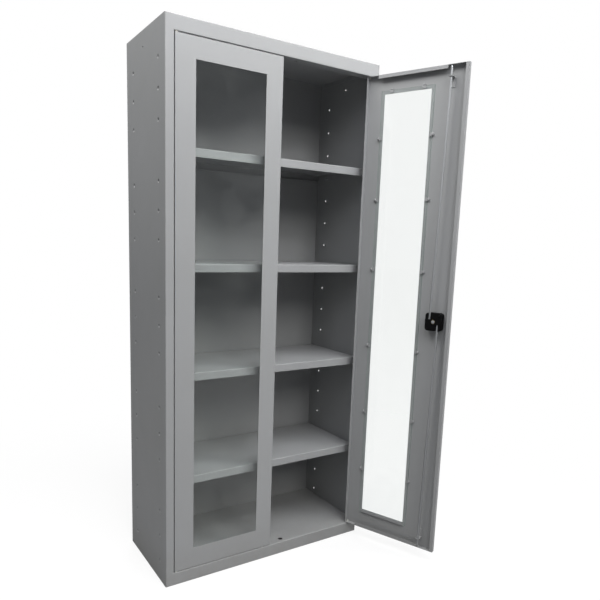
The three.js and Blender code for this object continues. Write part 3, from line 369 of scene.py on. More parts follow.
def moulded_abs(colours):
    """ABS, injection moulded: black with a dull, finely pitted skin."""
    return moulded_plastic("moulded_abs", {"Specular IOR Level": 0.12}, colours.plastic, 1.2, (0.5, 0.68))


def natural_nylon(colours):
    """Nylon, injection moulded and undyed: milky, with light a little way below its skin."""
    settings = {"Subsurface Weight": 0.2, "Subsurface Scale": 0.002}
    return moulded_plastic("natural_nylon", settings, colours.nylon, 1.5, (0.4, 0.55))


def float_glass(colours):
    """Soda-lime float glass, cut and ground along its edges. Lamps shine straight through it."""
    material, tree, shader = new_material("float_glass", {"IOR": 1.52})
    output = next(node for node in tree.nodes if node.type == "OUTPUT_MATERIAL")
    # A wiping cloth leaves a thin film in strokes about a hand wide. The ground edges are frosted.
    place = add_node(tree, "ShaderNodeTexCoord").outputs["Object"]
    strokes = add_node(
        tree, "ShaderNodeTexNoise", {"Scale": per_size(110), "Detail": 4.0, "Distortion": 1.2},
        {"Vector": place},
    )
    ground = add_node(tree, "ShaderNodeAttribute", {"attribute_name": "ground"})
    tint = add_node(
        tree, "ShaderNodeMix",
        {"data_type": "RGBA", "A_Color": colours.glass, "B_Color": colours.glass_edge},
        {"Factor_Float": ground.outputs["Fac"]},
    )
    tree.links.new(find_socket(tint.outputs, "Result_Color"), shader.inputs["Base Color"])
    for socket, bare, filmed, frosted in (
        ("Transmission Weight", 1.0, 0.99, 0.1), ("Roughness", 0.0, 0.03, 0.6),
    ):
        film = add_node(
            tree, "ShaderNodeMapRange",
            {"From Min": 0.35, "From Max": 0.7, "To Min": bare, "To Max": filmed},
            {"Value": strokes.outputs["Fac"]},
        )
        level = add_node(
            tree, "ShaderNodeMix", {"B_Float": frosted},
            {"Factor_Float": ground.outputs["Fac"], "A_Float": film.outputs["Result"]},
        )
        tree.links.new(find_socket(level.outputs, "Result_Float"), shader.inputs[socket])
    clear = add_node(tree, "ShaderNodeBsdfTransparent", {"Color": colours.glass})
    rays = add_node(tree, "ShaderNodeLightPath")
    light = add_node(
        tree, "ShaderNodeMath", {"operation": "MAXIMUM"},
        {"Value": rays.outputs["Is Shadow Ray"], "Value_001": rays.outputs["Is Diffuse Ray"]},
    )
    pane = add_node(
        tree, "ShaderNodeMixShader",
        links={
            "Fac": light.outputs["Value"], "Shader": shader.outputs["BSDF"],
            "Shader_001": clear.outputs["BSDF"],
        },
    )
    tree.links.new(pane.outputs["Shader"], output.inputs["Surface"])
    return material


MATERIALS = {
    "grey_paint": powder_coated_steel,
    "zinc_plate": zinc_plated_steel,
    "window_glass": float_glass,
    "black_plastic": moulded_abs,
    "brass": machined_brass,
    "chrome": chromed_die_casting,
    "nylon": natural_nylon,
}


def finish(maker):
    """Material of a maker, made once."""
    return bpy.data.materials.get(maker.__name__) or maker(bpy.context.scene.cabinet_finishes)


# Pieces

def add_object(name, data):
    """Adds an object with its data to the scene."""
    item = bpy.data.objects.new(name, data)
    bpy.context.scene.collection.objects.link(item)
    return item


def put(name, mesh, body, slot, material=None):
    """Adds a finished mesh as a piece that rides on a body."""
    piece = add_object(name, mesh)
    mesh.materials.clear()
    mesh.materials.append(material or finish(MATERIALS[slot]))
    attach(piece, body)
    return piece


def body_of(node):
    """Name of the body that carries a node."""
    bodies = frame["record"]["behaviour"]["bodies"]
    return next(body for body, nodes in bodies.items() if node in nodes)


def baked(piece):
    """Mesh of an object with its modifiers applied. The object itself is removed."""
    evaluated = piece.evaluated_get(bpy.context.evaluated_depsgraph_get())
    mesh = bpy.data.meshes.new_from_object(evaluated)
    bpy.data.objects.remove(piece)
    return mesh


def modified(mesh, kind, **settings):
    """Mesh after one modifier."""
    holder = add_object(mesh.name, mesh)
    modifier = holder.modifiers.new(kind, kind)
    for key, value in settings.items():
        setattr(modifier, key, value)
    return baked(holder)


def shade(mesh):
    """Smooth shading, broken at sharp edges."""
    mesh.shade_smooth()
    mesh.set_sharp_from_angle(angle=SHARP)


def smooth_folds(mesh):
    """Smooths the folds of a mesh and keeps its flats flat: at a corner, the widest flat decides."""
    shell = bmesh.new()
    shell.from_mesh(mesh)
    widths = {}
    for face in shell.faces:
        flat = [] if face in widths else [face]
        for member in flat:
            widths[member] = 0.0
            beside = [other for edge in member.edges for other in edge.link_faces if other not in widths]
            for other in beside:
                if other not in widths and member.normal.angle(other.normal, 0.0) < LEVEL:
                    widths[other] = 0.0
                    flat.append(other)
        area = sum(member.calc_area() for member in flat)
        widths.update((member, area) for member in flat)
    normals = []
    for face in shell.faces:
        for loop in face.loops:
            near = [
                other for other in loop.vert.link_faces
                if other is face or face.normal.angle(other.normal, 0.0) < SHARP
            ]
            normals.append(sum((other.normal * widths[other] ** 2 for other in near), Vector()).normalized())
    shell.free()
    mesh.shade_smooth()
    mesh.normals_split_custom_set(normals)


def weld(mesh):
    """Merges the corners of a mesh and joins its coplanar faces."""
    shell = bmesh.new()
    shell.from_mesh(mesh)
    bmesh.ops.remove_doubles(shell, verts=shell.verts, dist=TOUCH)
    bmesh.ops.dissolve_limit(shell, angle_limit=LEVEL, verts=shell.verts, edges=shell.edges)
    shell.to_mesh(mesh)
    shell.free()


def cut(mesh, tool):
    """Mesh after the form of a tool is taken away."""
    cutter = add_object("cutter", tool)
    result = modified(
        mesh, "BOOLEAN", operation="DIFFERENCE", solver="EXACT", use_self=True, object=cutter,
    )
    bpy.data.objects.remove(cutter)
    return result


def refine(nodes, slot, bevel=0.0, tool=None):
    """Replaces solids by the same forms with smooth folds, flat flats and, if wanted, bevels and cuts."""
    for node in nodes:
        mesh = frame["nodes"][node].data.copy()
        weld(mesh)
        if tool:
            mesh = cut(mesh, tool)
        if bevel:
            mesh = modified(
                mesh, "BEVEL", width=bevel, segments=BEVEL_STEPS, limit_method="ANGLE", angle_limit=SHARP,
            )
        # Cuts and bevels leave slivers, which the second weld takes away.
        weld(mesh)
        smooth_folds(mesh)
        piece = put(f"{node}_finished", mesh, body_of(node), slot)
        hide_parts(node)


def mesh_from(shell, name):
    """Mesh of a finished shell, with all its faces turned outwards."""
    bmesh.ops.recalc_face_normals(shell, faces=shell.faces)
    mesh = bpy.data.meshes.new(name)
    shell.to_mesh(mesh)
    shell.free()
    return mesh


def extent(points):
    """Lowest and highest corner of the box around some points."""
    low = Vector([min(point[i] for point in points) for i in range(3)])
    high = Vector([max(point[i] for point in points) for i in range(3)])
    return low, high


def turned(name, profile, sides):
    """Mesh turned about Z from pairs of radius and height: a ring, or a solid from axis to axis."""
    shell = bmesh.new()
    rings = []
    for radius, height in profile:
        count = sides if radius else 1
        angles = [2 * math.pi * i / count for i in range(count)]
        rings.append([
            shell.verts.new((radius * math.cos(a), radius * math.sin(a), height)) for a in angles
        ])
    if profile[0][0]:
        rings.append(rings[0])
    for lower, upper in zip(rings, rings[1:]):
        for i in range(sides):
            corners = [lower[i % len(lower)], lower[(i + 1) % len(lower)]]
            corners += [upper[(i + 1) % len(upper)], upper[i % len(upper)]]
            shell.faces.new(dict.fromkeys(corners))
    mesh = mesh_from(shell, name)
    shade(mesh)
    return mesh


# Repeated hardware

def hardware_tree():
    """Geometry nodes that stand one master form on every place, aimed along its facing."""
    title = "hardware on places"
    if title in bpy.data.node_groups:
        return bpy.data.node_groups[title]
    tree = bpy.data.node_groups.new(title, "GeometryNodeTree")
    for name, kind in (
        ("Places", "NodeSocketGeometry"), ("Master", "NodeSocketObject"),
        ("Size", "NodeSocketFloat"), ("Finish", "NodeSocketMaterial"),
    ):
        tree.interface.new_socket(name, in_out="INPUT", socket_type=kind)
    tree.interface.new_socket("Hardware", in_out="OUTPUT", socket_type="NodeSocketGeometry")
    given = add_node(tree, "NodeGroupInput").outputs
    facing = add_node(
        tree, "GeometryNodeInputNamedAttribute", {"data_type": "FLOAT_VECTOR", "Name": "facing"},
    )
    turn = add_node(tree, "GeometryNodeInputNamedAttribute", {"data_type": "FLOAT", "Name": "turn"})
    spin = add_node(
        tree, "FunctionNodeAxisAngleToRotation", {"Axis": UP}, {"Angle": turn.outputs["Attribute"]},
    )
    aim = add_node(tree, "FunctionNodeAlignRotationToVector", links={"Vector": facing.outputs["Attribute"]})
    set_turn = add_node(
        tree, "FunctionNodeRotateRotation", {"rotation_space": "LOCAL"},
        {"Rotation": aim.outputs["Rotation"], "Rotate By": spin.outputs["Rotation"]},
    )
    master = add_node(tree, "GeometryNodeObjectInfo", links={"Object": given["Master"]})
    stand = add_node(
        tree, "GeometryNodeInstanceOnPoints",
        links={
            "Points": given["Places"], "Instance": master.outputs["Geometry"],
            "Rotation": set_turn.outputs["Rotation"], "Scale": given["Size"],
        },
    )
    real = add_node(tree, "GeometryNodeRealizeInstances", links={"Geometry": stand.outputs["Instances"]})
    done = add_node(
        tree, "GeometryNodeSetMaterial",
        links={"Geometry": real.outputs["Geometry"], "Material": given["Finish"]},
    )
    add_node(tree, "NodeGroupOutput", links={"Hardware": done.outputs["Geometry"]})
    return tree


def repeated(name, master_mesh, places, size, material):
    """Mesh with the master form on every place, which is a point, a facing and a turn."""
    master = add_object(f"{name}_master", master_mesh)
    mesh = bpy.data.meshes.new(f"{name}_places")
    mesh.from_pydata([point for point, _, _ in places], [], [])
    facings = mesh.attributes.new("facing", "FLOAT_VECTOR", "POINT")
    facings.data.foreach_set("vector", [part for _, facing, _ in places for part in facing])
    turns = mesh.attributes.new("turn", "FLOAT", "POINT")
    turns.data.foreach_set("value", [turn for _, _, turn in places])
    rows = add_object(name, mesh)
    tree = hardware_tree()
    modifier = rows.modifiers.new("rows", "NODES")
    modifier.node_group = tree
    inputs = {"Master": master, "Size": size, "Finish": material}
    for item in tree.interface.items_tree:
        if item.in_out == "INPUT" and item.name in inputs:
            modifier[item.identifier] = inputs[item.name]
    result = baked(rows)
    bpy.data.objects.remove(master)
    shade(result)
    return result


def put_row(name, master_mesh, places, body, slot, size=1.0, material=None):
    """Adds a piece with the master form on every place."""
    material = material or finish(MATERIALS[slot])
    return put(name, repeated(name, master_mesh, places, size, material), body, slot, material)


def pan_head_screw():
    """Pan-head screw of unit radius with a cross recess, as seen from outside."""
    head = turned("pan_head", [
        (0.0, -0.1), (1.0, -0.1), (1.0, 0.28), (0.94, 0.44), (0.78, 0.56), (0.5, 0.63), (0.0, 0.66),
    ], SCREW_STEPS)
    cross = bmesh.new()
    for length, width in ((0.55, 0.11), (0.11, 0.55)):
        bar = bmesh.ops.create_cube(cross, size=2.0)["verts"]
        bmesh.ops.scale(cross, vec=(length, width, 0.25), verts=bar)
        bmesh.ops.translate(cross, vec=(0.0, 0.0, 0.6), verts=bar)
    return cut(head, mesh_from(cross, "cross_recess"))


def blind_rivet(radius, height):
    """Blind rivet's domed head with the dimple of its broken mandrel."""
    dimple = 0.32
    return turned("blind_rivet", [
        (0.0, -0.1 * height),
        (radius, -0.1 * height),
        (radius, 0.25 * height),
        (0.86 * radius, 0.66 * height),
        (0.6 * radius, 0.92 * height),
        (dimple * radius, height),
        (dimple * radius, 0.55 * height),
        (0.0, 0.55 * height),
    ], ROUND_STEPS)


def shelf_stud():
    """Turned stud along Z: a shank in the side's hole, a collar and a chamfered peg."""
    low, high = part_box(STUDS[0])
    radius = (high.z - low.z) / 2
    length = high.x - low.x
    seat = 1.5 * MM
    shank = 3.8 * MM
    rim = 0.35 * MM
    collar = 1.6 * MM
    chamfer = 1.2 * MM
    return turned("shelf_stud", [
        (0.0, 0.0),
        (shank, 0.0),
        (shank, seat),
        (radius - rim, seat),
        (radius, seat + rim),
        (radius, seat + collar),
        (radius - rim, seat + collar + rim),
        (radius - rim, length - chamfer),
        (radius - chamfer, length),
        (0.0, length),
    ], ROUND_STEPS)


def drawn_hole(sheet):
    """Forms of a hole that is drawn inwards along Z from a sheet: the cut through it, and its collar."""
    # The dimple flares over its brim at the outer face, and the cut runs on beyond the inner face.
    mouth, dimple, throat = 8.9 * MM, 7.1 * MM, 5.525 * MM
    brim = 0.25 * MM
    beyond = 0.475 * MM
    tool = turned("drawn_hole", [
        (0.0, -sheet - brim),
        (mouth, -sheet - brim),
        (dimple, -sheet + brim),
        (throat, beyond),
        (0.0, beyond),
    ], ROUND_STEPS)
    profile = [(radius * MM, height * MM) for radius, height in HOLE_COLLAR]
    collar = turned("hole_collar", profile, ROUND_STEPS)
    return tool, collar


def shelf_holes(side):
    """Sheet of a carcass side, and the places of its free shelf holes: on the inner face, facing inwards."""
    # The folds lie within folded_edge of the side's rim, and a hole within hole_reach of any of its points.
    # Holes no higher than link_hole stay plain. The sheet is thicker than skin_depth.
    folded_edge = 30 * MM
    hole_reach = 20 * MM
    link_hole = 8 * MM
    skin_depth = 0.1 * MM
    points = [vertex.co for vertex in frame["nodes"][side].data.vertices]
    depth = max(point.y for point in points) - folded_edge
    height = max(point.z for point in points) - folded_edge
    rims = [point for point in points if abs(point.y) < depth and folded_edge < point.z < height]
    skin = max(abs(point.x) for point in rims)
    outer = [point for point in rims if abs(point.x) > skin - TOUCH]
    inner = max(abs(point.x) for point in rims if abs(point.x) < skin - skin_depth)
    hand = math.copysign(1.0, outer[0].x)
    studs = [sum(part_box(name), Vector()) / 2 for name in STUDS]
    places = []
    while outer:
        rim = [point for point in outer if (point - outer[0]).length < hole_reach]
        outer = [point for point in outer if point not in rim]
        low, high = extent(rim)
        centre = (low + high) / 2
        taken = any((stud - centre).length < hole_reach for stud in studs)
        if high.z - low.z > link_hole and not taken:
            places.append((Vector((hand * inner, centre.y, centre.z)), Vector((-hand, 0.0, 0.0)), 0.0))
    return skin - inner, places


def weld_fills(bend):
    """Ground welds in the grooves between the stiles' rounded edges and the ends of the two rails."""
    past_stile = 0.1 * MM
    shell = bmesh.new()
    for rail in ("top_panel", "floor_pan"):
        low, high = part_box(rail)
        turns = [math.radians(angle) for angle in (0, 30, 60, 90)]
        section = [(low.y + bend - bend * math.cos(a), high.z - bend + bend * math.sin(a)) for a in turns]
        section += [(low.y + bend - bend * math.sin(a), low.z + bend - bend * math.cos(a)) for a in turns]
        for side, hand in zip(SIDES, (-1, 1)):
            stile = min(abs(corner.x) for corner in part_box(side))
            ends = [
                [shell.verts.new((hand * x, y, z)) for y, z in section]
                for x in (stile + bend, stile - past_stile)
            ]
            shell.faces.new(ends[0])
            shell.faces.new(ends[1])
            for i in range(len(section)):
                shell.faces.new((ends[0][i - 1], ends[0][i], ends[1][i], ends[1][i - 1]))
    mesh = mesh_from(shell, "weld_fills")
    smooth_folds(mesh)
    return mesh


def tab_lug():
    """Round lug along Z that backs the foot of a tab."""
    radius = 4.0 * MM
    straight = 1.8 * MM
    turns = [math.radians(angle) for angle in (72, 54, 36, 18, 0)]
    cap = [(radius * math.cos(a), straight + radius * math.sin(a)) for a in turns]
    foot = [(r, -height) for r, height in cap]
    tip = straight + radius
    return turned("tab_lug", [(0.0, -tip), *foot, *reversed(cap), (0.0, tip)], LUG_STEPS)


# Places on the right door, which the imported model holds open

def shut_to_rest():
    """Motion that carries the right door from shut to where it stands."""
    joint = next(joint for joint in frame["joints"] if joint["name"] == "right_door_hinge")
    pivot = Matrix.Translation(Vector(joint["pos_m"]))
    angle = -math.radians(min(joint["range_deg"]))
    return pivot @ Matrix.Rotation(angle, 4, "Z") @ pivot.inverted()


def door_box(node, motion):
    """Lowest and highest corner of a node, measured with its door shut."""
    back = motion.inverted()
    return extent([back @ vertex.co for vertex in frame["nodes"][node].data.vertices])


def screw_places(points, motion):
    """Places for screws that face into the cabinet when their door is shut."""
    inward = motion.to_3x3() @ BACK
    return [(motion @ point, inward, SCREW_TURN * i) for i, point in enumerate(points)]


class CABINET_OT_paint_sheets(bpy.types.Operator):
    """Powder coat the carcass, the shelves and the doors"""

    bl_idname = "cabinet.paint_sheets"
    bl_label = "Paint sheet steel"

    def execute(self, context):
        refine(PANELS + SHELVES + DOORS + ROD_GUIDES, "grey_paint")
        coat = finish(powder_coated_steel)
        for side in SIDES:
            sheet, places = shelf_holes(side)
            tool, collar = drawn_hole(sheet)
            refine([side], "grey_paint", tool=repeated(f"{side}_cuts", tool, places, 1.0, coat))
            put_row(f"{side}_collars", collar, places, "root", "grey_paint")
        put("weld_fills", weld_fills(context.scene.cabinet_hardware.sheet_bend), "root", "grey_paint")
        return {"FINISHED"}


class CABINET_OT_back_tabs(bpy.types.Operator):
    """Back the tabs that hold the panes with lugs"""

    bl_idname = "cabinet.back_tabs"
    bl_label = "Back tabs"

    def execute(self, context):
        sizes = context.scene.cabinet_hardware
        for node, motion in (("glass_left", Matrix.Identity(4)), ("glass_right", shut_to_rest())):
            low, high = door_box(node, motion)
            level = low.y + sizes.lug_rise
            middle = (low.z + high.z) / 2
            along = motion.to_3x3() @ RIGHT
            places = []
            for height in TAB_LEVELS:
                for x in (low.x - sizes.lug_offset, high.x + sizes.lug_offset):
                    places.append((motion @ Vector((x, level, middle + height * MM)), UP, 0.0))
            for x in (low.x + sizes.top_tab_inset, high.x - sizes.top_tab_inset):
                places.append((motion @ Vector((x, level, high.z + sizes.lug_offset)), along, 0.0))
            put_row(f"{node}_tab_lugs", tab_lug(), places, body_of(node), "grey_paint")
        return {"FINISHED"}


class CABINET_OT_glaze_doors(bpy.types.Operator):
    """Give the panes their glass"""

    bl_idname = "cabinet.glaze_doors"
    bl_label = "Glaze doors"

    def execute(self, context):
        refine(PANES, "window_glass", context.scene.cabinet_hardware.plate_bevel)
        for node in PANES:
            mesh = bpy.data.objects[f"{node}_finished"].data
            clear = max(face.area for face in mesh.polygons) / 2
            edges = mesh.attributes.new("ground", "FLOAT", "FACE")
            edges.data.foreach_set("value", [float(face.area < clear) for face in mesh.polygons])
        return {"FINISHED"}


class CABINET_OT_fit_studs(bpy.types.Operator):
    """Turn the studs that carry the shelves"""

    bl_idname = "cabinet.fit_studs"
    bl_label = "Fit shelf studs"

    def execute(self, context):
        places = []
        for name in STUDS:
            low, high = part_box(name)
            middle = (low + high) / 2
            hand = math.copysign(1.0, middle.x)
            foot = Vector((high.x if hand > 0 else low.x, middle.y, middle.z))
            places.append((foot, Vector((-hand, 0.0, 0.0)), 0.0))
        piece = put_row("shelf_studs", shelf_stud(), places, "root", "zinc_plate")
        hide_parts(*STUDS)
        return {"FINISHED"}


class CABINET_OT_fit_rivets(bpy.types.Operator):
    """Rivet the back panel to the top and to the floor"""

    bl_idname = "cabinet.fit_rivets"
    bl_label = "Fit rivets"

    def execute(self, context):
        sizes = context.scene.cabinet_hardware
        low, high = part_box("back_panel")
        span = high.x - low.x - 4 * sizes.rivet_inset
        places = []
        for z in (low.z + sizes.rivet_inset, high.z - sizes.rivet_inset):
            for i in range(sizes.rivet_count):
                x = span * (i / (sizes.rivet_count - 1) - 0.5)
                places.append((Vector((x, high.y, z)), BACK, 0.0))
        rivet = blind_rivet(sizes.rivet_radius, sizes.rivet_height)
        put_row("back_rivets", rivet, places, "root", "grey_paint")
        return {"FINISHED"}


class CABINET_OT_fit_lock(bpy.types.Operator):
    """Finish the lock and its rods on the right door"""

    bl_idname = "cabinet.fit_lock"
    bl_label = "Fit lock"

    def execute(self, context):
        sizes = context.scene.cabinet_hardware
        refine(["lock_housing", "lock_cover"], "black_plastic", sizes.bevel)
        refine(["lock_rod_upper", "lock_rod_lower", "spindle_screw"], "zinc_plate", sizes.plate_bevel)
        refine(["lock_pinion"], "brass", sizes.tooth_bevel)
        motion = shut_to_rest()
        low, high = door_box("lock_cover", motion)
        edge = sizes.cover_screw_edge
        corners = [
            Vector((low.x + edge, high.y, high.z - edge)),
            Vector((high.x - edge, high.y, low.z + edge)),
        ]
        put_row(
            "cover_screws", pan_head_screw(), screw_places(corners, motion), "right_door", "zinc_plate",
            sizes.screw_radius, finish(black_zinc_steel),
        )
        return {"FINISHED"}


class CABINET_OT_fit_handle(bpy.types.Operator):
    """Finish the handle, its rose and the key plug"""

    bl_idname = "cabinet.fit_handle"
    bl_label = "Fit handle"

    def execute(self, context):
        sizes = context.scene.cabinet_hardware
        refine(["wing_handle", "handle_rose"], "chrome", sizes.bevel)
        refine(["key_plug"], "brass", sizes.plate_bevel)
        return {"FINISHED"}


class CABINET_OT_fit_bolts(bpy.types.Operator):
    """Finish the slide bolts and their guides on the left door"""

    bl_idname = "cabinet.fit_bolts"
    bl_label = "Fit slide bolts"

    def execute(self, context):
        sizes = context.scene.cabinet_hardware
        guides = ["bolt_guide_upper", "bolt_guide_lower"]
        refine(["slide_bolt_upper", "slide_bolt_lower"] + guides, "zinc_plate", sizes.plate_bevel)
        points = []
        for node in guides:
            low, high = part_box(node)
            for x in (low.x + sizes.screw_edge, high.x - sizes.screw_edge):
                for z in (low.z + 2 * sizes.screw_edge, high.z - 2 * sizes.screw_edge):
                    points.append(Vector((x, low.y + sizes.guide_sheet, z)))
        put_row(
            "bolt_screws", pan_head_screw(), screw_places(points, Matrix.Identity(4)), "left_door",
            "zinc_plate", sizes.screw_radius,
        )
        return {"FINISHED"}


class CABINET_OT_fit_pivots(bpy.types.Operator):
    """Finish the pins and bushes that the doors turn on"""

    bl_idname = "cabinet.fit_pivots"
    bl_label = "Fit pivots"

    def execute(self, context):
        sizes = context.scene.cabinet_hardware
        pins = [name for name in frame["nodes"] if name.startswith("pivot_pin")]
        bushes = [name for name in frame["nodes"] if name.startswith("pivot_bush")]
        refine(pins, "zinc_plate", sizes.plate_bevel)
        refine(bushes, "nylon", sizes.plate_bevel)
        return {"FINISHED"}


# Stage

def seen_directly(tree, own_depth):
    """Share of a surface or sky that the camera sees, also straight through glass."""
    rays = add_node(tree, "ShaderNodeLightPath").outputs
    # A ray that bounced inside a pane has a depth beyond its transmissions and the seen thing's own.
    bounces = add_node(
        tree, "ShaderNodeMath", {"operation": "SUBTRACT"},
        {"Value": rays["Ray Depth"], "Value_001": rays["Transmission Depth"]},
    )
    straight = add_node(
        tree, "ShaderNodeMath", {"operation": "LESS_THAN", "Value_001": own_depth + 0.5},
        {"Value": bounces.outputs["Value"]},
    )
    through = add_node(
        tree, "ShaderNodeMath", {"operation": "MULTIPLY"},
        {"Value": rays["Is Transmission Ray"], "Value_001": straight.outputs["Value"]},
    )
    return add_node(
        tree, "ShaderNodeMath", {"operation": "MAXIMUM"},
        {"Value": rays["Is Camera Ray"], "Value_001": through.outputs["Value"]},
    ).outputs["Value"]


def studio_sky(stage):
    """World that looks white, lights softly from above and gives shiny parts a room to mirror."""
    world = bpy.data.worlds.new("studio_sky")
    world.use_nodes = True
    tree = world.node_tree
    tree.nodes.clear()
    direction = add_node(tree, "ShaderNodeTexCoord").outputs["Generated"]
    height = add_node(tree, "ShaderNodeSeparateXYZ", links={"Vector": direction})
    level = add_node(
        tree, "ShaderNodeMapRange",
        {"From Min": -0.3, "From Max": 0.7, "To Min": stage.ground_level, "To Max": stage.sky_level},
        {"Value": height.outputs["Z"]},
    )
    mirrored = add_node(
        tree, "ShaderNodeMath",
        {"operation": "MULTIPLY_ADD", "Value_001": stage.mirror_gain - 1.0, "Value_002": 1.0},
        {"Value": add_node(tree, "ShaderNodeLightPath").outputs["Is Glossy Ray"]},
    )
    strength = add_node(
        tree, "ShaderNodeMath", {"operation": "MULTIPLY"},
        {"Value": level.outputs["Result"], "Value_001": mirrored.outputs["Value"]},
    )
    light = add_node(
        tree, "ShaderNodeBackground", {"Color": hex_colour(SKY_TINT)},
        {"Strength": strength.outputs["Value"]},
    )
    white = add_node(tree, "ShaderNodeBackground", {"Color": WHITE, "Strength": 1.0})
    sky = add_node(
        tree, "ShaderNodeMixShader",
        links={
            "Fac": seen_directly(tree, 1), "Shader": light.outputs["Background"],
            "Shader_001": white.outputs["Background"],
        },
    )
    add_node(tree, "ShaderNodeOutputWorld", links={"Surface": sky.outputs["Shader"]})
    bpy.context.scene.world = world


def studio_floor(stage):
    """Pale floor: grey to the light that it returns, near white to the eye, with a soft shadow."""
    mesh = bpy.data.meshes.new("studio_floor")
    reach = 30.0
    corners = [(-reach, -reach, 0.0), (reach, -reach, 0.0), (reach, reach, 0.0), (-reach, reach, 0.0)]
    mesh.from_pydata(corners, [], [(0, 1, 2, 3)])
    floor = add_object("studio_floor", mesh)
    matt = {"Base Color": stage.floor, "Roughness": 1.0, "Specular IOR Level": 0.0}
    material, tree, shader = new_material("studio_floor", matt)
    output = next(node for node in tree.nodes if node.type == "OUTPUT_MATERIAL")
    place = add_node(tree, "ShaderNodeTexCoord").outputs["Object"]
    distance = add_node(tree, "ShaderNodeVectorMath", {"operation": "LENGTH"}, {"Vector": place})
    fade = add_node(
        tree, "ShaderNodeMapRange",
        {
            "interpolation_type": "SMOOTHSTEP", "From Min": 0.5, "From Max": 2.2, "To Min": 0.8,
            "To Max": 1.0,
        },
        {"Value": distance.outputs["Value"]},
    )
    # Under the carcass the floor is as dark as it would be, which shows through the hole in the floor pan.
    _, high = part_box("floor_pan")
    sizes = add_node(tree, "ShaderNodeVectorMath", {"operation": "ABSOLUTE"}, {"Vector": place})
    shares = add_node(
        tree, "ShaderNodeVectorMath", {"operation": "DIVIDE", "Vector_001": (high.x, high.y, 1.0)},
        {"Vector": sizes.outputs["Vector"]},
    )
    share = add_node(tree, "ShaderNodeSeparateXYZ", links={"Vector": shares.outputs["Vector"]})
    widest = add_node(
        tree, "ShaderNodeMath", {"operation": "MAXIMUM"},
        {"Value": share.outputs["X"], "Value_001": share.outputs["Y"]},
    )
    open_floor = add_node(
        tree, "ShaderNodeMath", {"operation": "GREATER_THAN", "Value_001": 0.98},
        {"Value": widest.outputs["Value"]},
    )
    lit = add_node(
        tree, "ShaderNodeMath", {"operation": "MULTIPLY"},
        {"Value": fade.outputs["Result"], "Value_001": open_floor.outputs["Value"]},
    )
    pale = add_node(tree, "ShaderNodeBsdfDiffuse", {"Color": (0.95, 0.95, 0.95, 1.0)})
    glow = add_node(tree, "ShaderNodeEmission", {"Color": WHITE, "Strength": 1.0})
    seen = add_node(
        tree, "ShaderNodeMixShader",
        links={
            "Fac": lit.outputs["Value"], "Shader": pale.outputs["BSDF"],
            "Shader_001": glow.outputs["Emission"],
        },
    )
    surface = add_node(
        tree, "ShaderNodeMixShader",
        links={
            "Fac": seen_directly(tree, 0), "Shader": shader.outputs["BSDF"],
            "Shader_001": seen.outputs["Shader"],
        },
    )
    tree.links.new(surface.outputs["Shader"], output.inputs["Surface"])
    mesh.materials.append(material)
    floor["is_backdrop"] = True


def softbox(name, place, target, width, height, power, colour):
    """Area lamp that looks at a target."""
    lamp = bpy.data.lights.new(name, "AREA")
    lamp.shape = "RECTANGLE"
    lamp.size = width
    lamp.size_y = height
    lamp.energy = power
    lamp.color = hex_colour(colour)[:3]
    holder = add_object(name, lamp)
    holder.location = place
    holder.rotation_euler = (Vector(target) - Vector(place)).to_track_quat("-Z", "Y").to_euler()
    holder.visible_camera = False
    holder.visible_transmission = False


def photo_camera(stage):
    """Camera where the photographer stood, turned and shifted to the photograph's framing."""
    stand = Vector((-1.1657, -2.0996, 1.2884))
    ahead = Vector((0.5380, 0.82734, -0.16143)).normalized()
    right = Vector((0.84081, -0.54033, 0.03292))
    right = (right - ahead * right.dot(ahead)).normalized()
    above = right.cross(ahead)
    lens = bpy.data.cameras.new("photo_camera")
    lens.lens = stage.lens
    lens.sensor_width = 36.0
    lens.shift_x = 0.0147
    lens.shift_y = 0.0617
    camera = add_object("photo_camera", lens)
    turn = Matrix((right, above, -ahead)).transposed().to_4x4()
    camera.matrix_world = Matrix.Translation(stand) @ turn
    bpy.context.scene.camera = camera


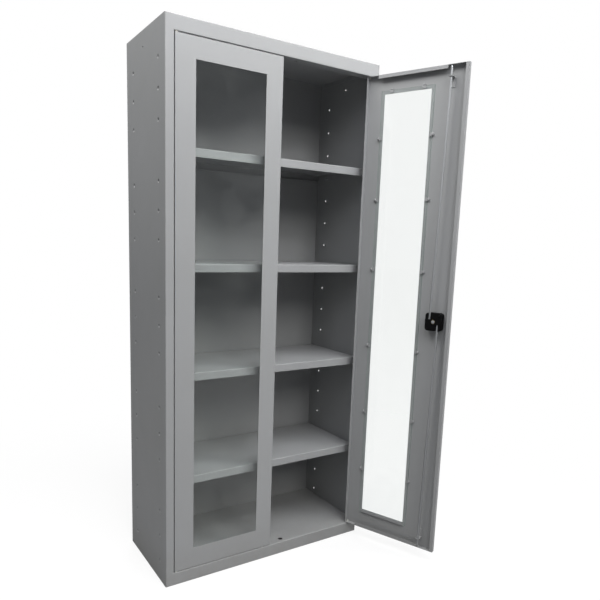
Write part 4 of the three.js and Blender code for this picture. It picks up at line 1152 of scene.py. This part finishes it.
class CABINET_OT_set_stage(bpy.types.Operator):
    """Set the floor, the light and the camera"""

    bl_idname = "cabinet.set_stage"
    bl_label = "Set stage"

    def execute(self, context):
        stage = context.scene.cabinet_stage
        context.scene.view_settings.view_transform = "Standard"
        studio_sky(stage)
        studio_floor(stage)
        softbox("front", (-0.5, -7.0, 5.5), (0.0, 0.0, 1.0), 3.6, 2.6, stage.front_power, WARM_LAMP)
        softbox("ceiling", (0.0, -1.8, 3.8), (0.0, 0.0, 1.2), 2.6, 1.8, stage.ceiling_power, COOL_LAMP)
        softbox("side", (-1.5, 0.0, 3.9), (-0.4, 0.0, 1.3), 1.4, 1.4, stage.side_power, WARM_LAMP)
        softbox("right", (2.6, -3.0, 4.0), (0.2, 0.0, 1.1), 1.6, 1.6, stage.right_power, WARM_LAMP)
        softbox("back", (1.6, 4.2, 3.8), (0.0, 0.0, 1.0), 2.6, 2.0, stage.back_power, WARM_LAMP)
        photo_camera(stage)
        return {"FINISHED"}


OPERATORS = (
    CABINET_OT_paint_sheets,
    CABINET_OT_glaze_doors,
    CABINET_OT_back_tabs,
    CABINET_OT_fit_studs,
    CABINET_OT_fit_rivets,
    CABINET_OT_fit_lock,
    CABINET_OT_fit_handle,
    CABINET_OT_fit_bolts,
    CABINET_OT_fit_pivots,
    CABINET_OT_set_stage,
)


class CABINET_PT_sidebar(bpy.types.Panel):
    """Sizes, colours and steps of the cabinet"""

    bl_label = "Medical cabinet"
    bl_idname = "CABINET_PT_sidebar"
    bl_space_type = "VIEW_3D"
    bl_region_type = "UI"
    bl_category = "Cabinet"

    def draw(self, context):
        scene = context.scene
        for group in (scene.cabinet_finishes, scene.cabinet_hardware, scene.cabinet_stage):
            box = self.layout.box()
            for name in group.__annotations__:
                box.prop(group, name)
        for operator in OPERATORS:
            self.layout.operator(operator.bl_idname)


GROUPS = {
    "cabinet_finishes": CabinetFinishes,
    "cabinet_hardware": CabinetHardware,
    "cabinet_stage": CabinetStage,
}


def register():
    for name, group in GROUPS.items():
        bpy.utils.register_class(group)
        setattr(bpy.types.Scene, name, PointerProperty(type=group))
    for kind in (*OPERATORS, CABINET_PT_sidebar):
        bpy.utils.register_class(kind)


def unregister():
    for kind in (CABINET_PT_sidebar, *reversed(OPERATORS)):
        bpy.utils.unregister_class(kind)
    for name, group in GROUPS.items():
        delattr(bpy.types.Scene, name)
        bpy.utils.unregister_class(group)


def main():
    register()
    for operator in OPERATORS:
        group, step = operator.bl_idname.split(".")
        getattr(getattr(bpy.ops, group), step)()
    boxes = {"cad": CAD_BOX, "visual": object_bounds()}
    {name: [list(corner) for corner in box] for name, box in boxes.items()}


if __name__ == "__main__":
    main()
